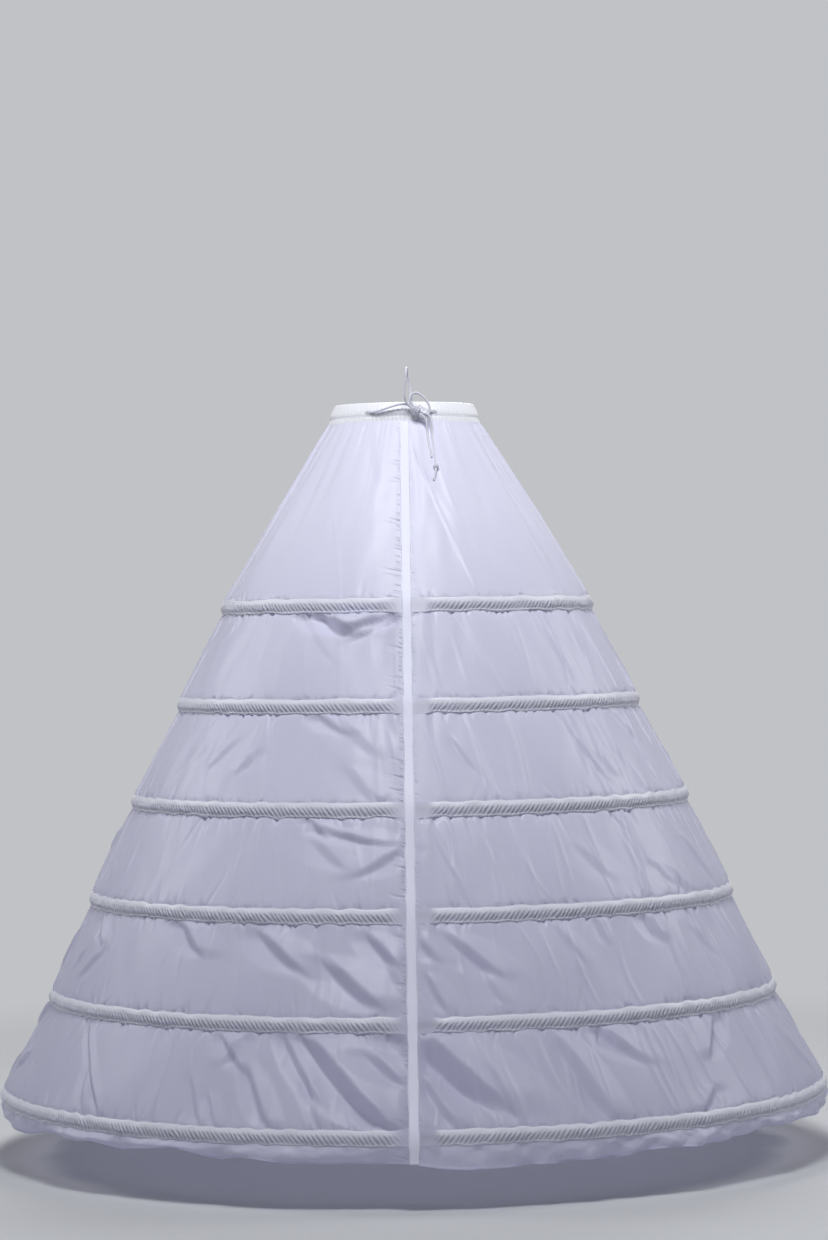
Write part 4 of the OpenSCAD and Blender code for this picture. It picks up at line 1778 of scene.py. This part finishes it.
        # Gathers are strongest low on the outside and fade towards the fold at the top
        places, holds = np.array(self.holds).T
        hold = np.interp(fall, places * MM, holds)[:, None]
        hold = hold * (1 - 0.6 * outer * np.exp(-(((level - self.seam_level) / (1.6 * MM)) ** 2)))
        slit = np.where(outer, self.from_slit(angle, level), 9.0)
        hold = hold * smoothstep(slit, 1.0, 2.2)
        half = math.pi / self.columns
        between = (level[:-1] + level[1:]) / 2
        face = np.where(outer[:-1], self.from_slit(angle + half, between), 9.0) < 1.0
        cloth_uv = np.stack([along, np.broadcast_to(fall[:, None], a.shape)], axis=-1)
        extra = {"along": along[::-1], "across": np.zeros_like(along), "hold": hold[::-1]}
        band = mesh_from_patches("gathered_waistband", [Patch(
            points[::-1], cloth_uv[::-1], extra, wrap=True, left_out=np.vstack([face[::-1], face[:1]])
        )])
        self.gathers.press(band, cloth)
        thicken(band, self.thickness)
        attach(band, BODY)
        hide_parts("waistband")
        report(band)
        self.buttonhole_edges(worked)


@dataclass
class Drawstring:
    """The drawstring's two free ends, tied in a bow, and the knots on them.

    Attributes:
        radius: Radius of the cord.
        left: Route of the left end, in millimetres.
        right: Route of the right end, in millimetres.
        bow_centre: Middle of the bow's knot, in millimetres.
        bow_end: A point along the knot's axis, in millimetres.
        tail_step: Number of the left route's point that the tail knot sits at.
        route_steps: Points made between two points of a route.
        route_passes: How often a route is relaxed.
        knot_taper: How much narrower a knot is at its ends.
        knot_pitch: Spacing of a knot's turns, in radii of its cord.
    """

    radius: float = CORD_RADIUS
    left: tuple[Point, ...] = (
        (-59.7, -72.9, -15), (-54.3, -76.8, -15), (-50, -81.4, -14.8), (-45.8, -86.6, -14.4),
        (-38, -91.6, -13.2), (-30, -95, -10.9), (-20.5, -97.5, -8), (-11, -99, -5.2), (-2.5, -99.7, -3.8),
        (4, -99.8, -4.6), (9.5, -99.7, -7.8), (16.5, -99.7, -13.4), (23.5, -99.7, -19),
        (30.2, -99.6, -20.8), (35.8, -99.5, -17.2), (37.2, -99.5, -10.8), (34.8, -100, -3.2), (30.4, -101, 3.2),
        (24.6, -102.4, 8.9), (17.6, -103.6, 11.9), (10.9, -104.4, 9.1), (8.2, -104.2, 2.4), (11.7, -103.3, -5),
        (18.7, -103.3, -10.6), (25.7, -103.3, -16.2), (32, -103.8, -18.8), (37, -104.2, -22.6), (39, -104.4, -29),
        (39.4, -104.5, -38), (40, -105.4, -46.6), (40.6, -109, -54.5), (41.6, -114.6, -64), (42.8, -121.4, -74),
        (44.4, -129.4, -84.6), (45, -139.4, -96), (43.4, -145.8, -106), (41, -151.4, -116),
    )
    right: tuple[Point, ...] = (
        (52, -77, -15), (46.4, -80.4, -15), (41.6, -84.8, -14.8), (37, -89.8, -14.6), (31.8, -95, -15.6),
        (25.5, -98.8, -15.9), (18.7, -99.7, -10.6), (12.6, -99.6, -4.9), (10.6, -98.6, 2.2), (10, -97.2, 9.4),
        (9.2, -95.9, 17), (8, -95, 25), (6.8, -94.6, 32.4), (5.6, -94.7, 39.8), (4.9, -97, 45.8),
        (4.5, -103, 48.3), (4.1, -109, 45.8), (3.4, -111.5, 39.8), (2.8, -111.6, 32), (2, -111, 24.5),
        (1.2, -110, 16), (1, -108.2, 7), (3.6, -105.2, -2), (9.5, -103.3, -7.8), (16.5, -103.3, -13.4),
        (23.5, -103.3, -19), (29, -103.8, -23.4), (32.3, -104.2, -29.6), (33, -104.4, -38), (33.4, -105.2, -46.4),
        (34, -109, -54.5), (35.4, -115.2, -64), (37.4, -121.8, -73.6), (38.8, -127.8, -82.4),
    )
    bow_centre: Point = (17.6, -101.5, -12)
    bow_end: Point = (24.6, -101.5, -17.6)
    tail_step: int = 34
    route_steps: int = 6
    route_passes: int = 3
    knot_taper: float = 0.18
    knot_pitch: float = 2.05

    def wrap(
        self, name: str, centre: np.ndarray, axis: np.ndarray, radius: float, cord: float, turns: float,
        cloth: Material,
    ) -> Object:
        """A few turns of cord round an axis.

        Args:
            name: Name of the piece.
            centre: Middle of the turns.
            axis: Direction of the axis.
            radius: Radius of the turns at the cord's middle.
            cord: Radius of the cord.
            turns: Number of turns.
            cloth: Material of the cord.

        Returns:
            The piece.
        """
        axis = axis / np.linalg.norm(axis)
        u = np.cross(axis, (0.0, 0.0, 1.0))
        u = u / np.linalg.norm(u)
        w = np.cross(axis, u)
        t = np.linspace(-0.5, 0.5, round(40 * turns))
        angle = t * turns * 2 * math.pi
        shrink = radius * (1 - self.knot_taper * (2 * t) ** 4)
        path = centre + shrink[:, None] * (np.cos(angle)[:, None] * u + np.sin(angle)[:, None] * w)
        path = path + (t * turns * self.knot_pitch * cord)[:, None] * axis
        knot = mesh_from_patches(name, [tube_patch(path, cord, 12)], cloth)
        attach(knot, BODY)
        report(knot)
        return knot

    def end(
        self, name: str, route: tuple[Point, ...], node: str, cloth: Material
    ) -> tuple[Object, np.ndarray]:
        """One free end of the drawstring.

        Args:
            name: Name of the piece.
            route: Its points, in millimetres.
            node: The CAD node that it replaces.
            cloth: Material of the cord.

        Returns:
            The piece and its centre line.
        """
        line = smooth_route(route, self.route_steps, self.route_passes)
        cord = mesh_from_patches(name, [tube_patch(line, self.radius, 12)], cloth)
        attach(cord, BODY)
        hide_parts(node)
        return cord, line

    def build(self, cloth: Material) -> None:
        """Builds both ends and the knots, and logs each piece.

        Args:
            cloth: Material of the cord.
        """
        left, left_line = self.end("left_end_cord", self.left, "drawstring_left_end", cloth)
        right, right_line = self.end("right_end_cord", self.right, "drawstring_right_end", cloth)
        centre, end = np.array(self.bow_centre) * MM, np.array(self.bow_end) * MM
        bow = self.wrap("bow_wrap", centre, end - centre, 6.1 * MM, self.radius, 2.2, cloth)
        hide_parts("bow_knot")
        at, after = (np.array(p) * MM for p in self.left[self.tail_step:self.tail_step + 2])
        tail = self.wrap("tail_overhand", at, after - at, 2.95 * MM, 1.15 * MM, 1.9, cloth)
        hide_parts("tail_knot")
        ends = ((left, left_line, "knot", [bow, tail]), (right, right_line, "bare", []))
        for cord, line, far, extra in ends:
            report(cord)


@dataclass
class Stitching:
    """Rows of thread stitches.

    Attributes:
        pitch: Spacing of the stitches.
        length: Length of a stitch.
        thread: Radius of the thread.
    """

    pitch: float = 4.2 * MM
    length: float = 3.0 * MM
    thread: float = 0.28 * MM

    def build(self, name: str, lines: list[np.ndarray], slot: Slot, thread: Material) -> None:
        """Lays stitches along lines.

        Args:
            name: Name of the piece.
            lines: The lines, each an array of points.
            slot: Material slot of the cloth that they are sewn in; not used.
            thread: Material of the thread.
        """
        verts, edges = [], []
        for line in lines:
            first = len(verts)
            verts += line.tolist()
            edges += [(first + i, first + i + 1) for i in range(len(line) - 1)]
        mesh = bpy.data.meshes.new(name)
        mesh.from_pydata(verts, edges, [])
        obj = bpy.data.objects.new(name, mesh)
        bpy.context.scene.collection.objects.link(obj)
        grow(obj, StitchTree.tree(), {
            "Pitch": self.pitch, "Length": self.length, "Thread": self.thread, "Material": thread,
        })
        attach(obj, BODY)
        report(obj)


@dataclass(frozen=True)
class Lamp:
    """A square soft light.

    Attributes:
        name: Its name.
        place: Where it is.
        target: What it points at.
        size: Length of its sides.
        power: Its power in watts.
        colour: Its colour.
    """

    name: str
    place: Point
    target: Point
    size: float
    power: float
    colour: Colour = (1.0, 1.0, 1.0)

    def build(self) -> None:
        """Adds the light to the scene."""
        light = bpy.data.lights.new(self.name, "AREA")
        light.size = self.size
        light.energy = self.power
        light.color = self.colour
        obj = bpy.data.objects.new(self.name, light)
        obj.location = self.place
        obj.rotation_euler = (Vector(self.target) - Vector(self.place)).to_track_quat("-Z", "Y").to_euler()
        bpy.context.scene.collection.objects.link(obj)


@dataclass
class Studio:
    """The floor, the light and the camera.

    Attributes:
        distance: Distance of the camera from the skirt's axis.
        level: Level of the camera.
        aside: How far the camera stands to the right of the axis.
        roll: How far the picture is turned.
        focal: Focal length in pixels of a picture that is PICTURE_HEIGHT high.
        floor: Level of the floor.
        paper: Colour of the floor.
        air: Colour that shows behind the skirt.
        ambient: Strength of the light from all round.
        sky: Colour of that light.
        near: How far out the floor keeps its own colour.
        far: How far out it has taken the colour of the air.
        rings: Radii of the floor's rings.
        lamps: The lights.
    """

    distance: float = 5.45
    level: float = -0.316
    aside: float = 0.010
    roll: float = math.radians(-0.85)
    focal: float = 3706.0
    floor: float = -1.09
    paper: Colour = (0.56, 0.57, 0.585)
    air: Colour = (0.53, 0.54, 0.56)
    ambient: float = 0.05
    sky: Colour = (0.90, 0.92, 1.0)
    near: float = 0.8
    far: float = 2.4
    rings: tuple[float, ...] = (0.001, 0.6, 1.2, 2.0, 3.0, 4.5, 7.0, 12.0, 20.0, 40.0)
    lamps: tuple[Lamp, ...] = (
        Lamp("key", (-0.02, -1.33, 1.6), (0.0, -0.3, -0.5), 0.8, 42.5, (0.95, 0.965, 1.0)),
        Lamp("fill", (0.2, -4.4, 0.2), (0.0, 0.0, -0.5), 1.8, 3.0, (0.86, 0.91, 1.0)),
        Lamp("side_left", (-2.4, 0.5, 0.7), (0.0, 0.0, -0.4), 0.8, 16.0),
        Lamp("side_right", (2.4, 0.5, 0.7), (0.0, 0.0, -0.4), 0.8, 18.0),
        Lamp("front_key", (0.15, 1.5, 1.2), (0.0, 0.25, -0.45), 0.8, 26.0),
    )

    @staticmethod
    def shown(n: Nodes) -> NodeSocket:
        """Tells rays that show the background: from the camera, or by a clear reflection or refraction.

        Args:
            n: What adds the nodes.

        Returns:
            A socket that is 1 for such rays.
        """
        ray = n.add("ShaderNodeLightPath").outputs
        clear = n.math("MAXIMUM", ray["Is Glossy Ray"], ray["Is Transmission Ray"])
        clear = n.math("MULTIPLY", clear, n.math("SUBTRACT", 1.0, ray["Is Diffuse Ray"]))
        return n.math("MAXIMUM", ray["Is Camera Ray"], clear)

    def lay_floor(self) -> None:
        """Adds a round pale floor, which takes the colour of the air far from the skirt."""
        rings = np.array(self.rings)[:, None]
        turn = (np.arange(72) * 2 * math.pi / 72)[None, :]
        x, y = rings * np.cos(turn), rings * np.sin(turn)
        points = np.stack([x, y, np.full_like(x, self.floor)], axis=-1)
        stage = mesh_from_patches("studio_floor", [Patch(points, points[..., :2].copy(), wrap=True)])
        mat, n = new_material("pale_paper")
        place = n.add("ShaderNodeTexCoord").outputs["Object"]
        flat = n.add("ShaderNodeVectorMath", {0: place, 1: (1.0, 1.0, 0.0)}, operation="MULTIPLY").outputs[0]
        away = n.add("ShaderNodeVectorMath", {0: flat}, operation="LENGTH").outputs["Value"]
        far = n.ramp(away, span=(self.near, self.far), soft=True)
        skin = n.add("ShaderNodeBsdfPrincipled", {"Base Color": (*self.paper, 1.0), "Roughness": 0.9})
        glow = n.add("ShaderNodeEmission", {"Color": (*self.air, 1.0), "Strength": 1.0})
        share = n.math("MULTIPLY", far, self.shown(n))
        mixed = n.add("ShaderNodeMixShader", {0: share, 1: skin.outputs[0], 2: glow.outputs[0]})
        n.link(mixed.outputs[0], n.add("ShaderNodeOutputMaterial").inputs[0])
        stage.data.materials.append(mat)

    def fill_air(self) -> None:
        """Gives the world a faint light, and the colour that shows behind the skirt."""
        world = bpy.data.worlds.new("studio_air")
        world.use_nodes = True
        n = Nodes(world.node_tree)
        world.node_tree.nodes.clear()
        faint = n.add("ShaderNodeBackground", {"Color": (*self.sky, 1.0), "Strength": self.ambient})
        behind = n.add("ShaderNodeBackground", {"Color": (*self.air, 1.0), "Strength": 1.0})
        mixed = n.add("ShaderNodeMixShader", {0: self.shown(n), 1: faint.outputs[0], 2: behind.outputs[0]})
        n.link(mixed.outputs[0], n.add("ShaderNodeOutputWorld").inputs[0])
        bpy.context.scene.world = world

    def build(self) -> None:
        """Builds the stage, the lights, the world and the camera."""
        scene = bpy.context.scene
        scene.view_settings.view_transform = "Standard"
        self.lay_floor()
        self.fill_air()
        for lamp in self.lamps:
            lamp.build()
        data = bpy.data.cameras.new("camera")
        data.sensor_fit = "VERTICAL"
        data.sensor_height = 36.0
        data.lens = self.focal / PICTURE_HEIGHT * data.sensor_height
        data.clip_end = 60.0
        camera = bpy.data.objects.new("camera", data)
        camera.location = (self.aside, -self.distance, self.level)
        camera.rotation_mode = "XYZ"
        camera.rotation_euler = (math.pi / 2, 0.0, 0.0)
        camera.rotation_euler.rotate_axis("Z", self.roll)
        scene.collection.objects.link(camera)
        scene.camera = camera


# ---- the whole


BACK_FOLDS = (
    # Slack pockets under the first hoop, beside the seam
    Fold(2, (-0.146, -0.16), (-0.072, 0.30), 16, 16.5),
    Fold(2, (-0.008, -0.14), (-0.096, 0.26), 11, 12.0),
    Fold(2, (0.012, -0.08), (-0.098, 0.37), 5, 4.0),
    Fold(2, (-0.172, -0.02), (-0.130, 0.30), 7, 2.8),
    # Short pulls under the second and third hoops
    Fold(3, (-0.140, -0.06), (-0.085, 0.26), 10, 6.0),
    Fold(3, (0.250, 0.10), (0.302, 0.98), 4, 2.4),
    Fold(4, (-0.150, -0.05), (-0.115, 0.24), 8, 5.0),
    Fold(4, (-0.118, 0.10), (-0.020, 0.34), 8, 6.0),
    Fold(4, (-0.010, 0.30), (-0.085, 0.70), 10, 5.8),
    # Slack beside the seam in the fifth tier
    Fold(5, (-0.365, -0.06), (-0.300, 0.42), 14, 7.5),
    Fold(5, (-0.225, 0.02), (-0.130, 0.60), 13, 8.0),
    Fold(5, (-0.120, 0.30), (-0.025, 0.98), 15, 10.0),
    Fold(5, (-0.062, 0.05), (-0.008, 0.52), 10, 6.5),
    Fold(5, (0.050, 0.06), (0.135, 0.66), 12, 7.5),
    Fold(5, (0.020, 0.50), (0.050, 0.98), 8, 5.0),
    Fold(5, (0.380, -0.10), (0.398, 0.36), 11, 6.0),
    Fold(5, (0.286, -0.05), (0.294, 0.34), 6, 3.2),
    # Long bands that cross the last tier on both sides of the seam
    Fold(6, (-0.165, -0.16), (-0.005, 1.14), 18, 15.0),
    Fold(6, (-0.190, -0.06), (-0.105, 0.86), 9, 6.5),
    Fold(6, (-0.232, 0.28), (-0.172, 1.12), 9, 7.5),
    Fold(6, (-0.062, 0.14), (0.002, 0.60), 13, 9.5),
    Fold(6, (0.000, -0.14), (0.140, 0.92), 25, 19.0),
    Fold(6, (0.008, 0.30), (0.064, 1.08), 10, 8.0),
    Fold(6, (0.205, -0.05), (0.272, 1.12), 13, 9.0),
    Fold(6, (0.283, -0.08), (0.300, 0.32), 9, 5.5),
    Fold(6, (0.505, -0.05), (0.448, 0.50), 12, 7.5),
    Fold(6, (0.440, 0.72), (0.378, 1.12), 10, 6.0),
    Fold(6, (-0.280, 0.60), (-0.248, 1.12), 6, 4.0),
    Fold(6, (-0.285, -0.02), (-0.225, 0.48), 9, 5.5),
    # The long crease at the left of the last tier
    Fold(6, (-0.585, -0.10), (-0.430, 1.12), 5, 4.0),
)


def read_hoops() -> list[Hoop]:
    """Reads the hoops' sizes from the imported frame.

    Returns:
        The hoops, counted from the waist.
    """
    hoops = []
    for number in HOOP_NUMBERS:
        low, high = (Vector(p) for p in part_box(f"hoop_{number}"))
        tape_low, tape_high = (Vector(p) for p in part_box(f"casing_tape_{number}"))
        hoops.append(Hoop((high.x - low.x) / 2, (high.z + low.z) / 2, (tape_high.z - tape_low.z) / 2))
    return hoops


def dress_node(node: str, material: Material) -> None:
    """Gives a CAD node a better material.

    Args:
        node: Name of the node.
        material: Its new material.
    """
    obj = bpy.data.objects[node]
    obj.data.materials.clear()
    obj.data.materials.append(material)
    report(obj)


def main() -> None:
    """Builds the petticoat and its studio in order."""
    logging.basicConfig(level=logging.INFO, format="%(message)s")
    Studio().build()
    Drawstring().build(CORD.material())
    skirt = Skirt(read_hoops(), FoldField(folds=BACK_FOLDS))
    skirt.build(SKIRT_CLOTH.material(), RUCHED_CLOTH.material())
    binding = SeamBinding(skirt)
    binding.build(STRIP_CLOTH.material())
    band = Waistband()
    band.build(BAND_CLOTH.material(), WORKED.material())
    stitching, thread = Stitching(), THREAD.material()
    stitching.build("casing_stitches", skirt.stitch_lines(), Slot.SKIRT, thread)
    stitching.build("seam_strip_stitches", binding.stitch_lines(), Slot.BAND, thread)
    stitching.build("band_stitches", band.stitch_lines(), Slot.BAND, thread)
    boning, clip, tape = BONING.material(), CLIP.material(), TAPE.material()
    for number in HOOP_NUMBERS:
        dress_node(f"hoop_{number}", boning)
        dress_node(f"hoop_clip_{number}", clip)
        dress_node(f"casing_tape_{number}", tape)
    dress_node("drawstring_in_band", tape)


if __name__ == "__main__":
    main()
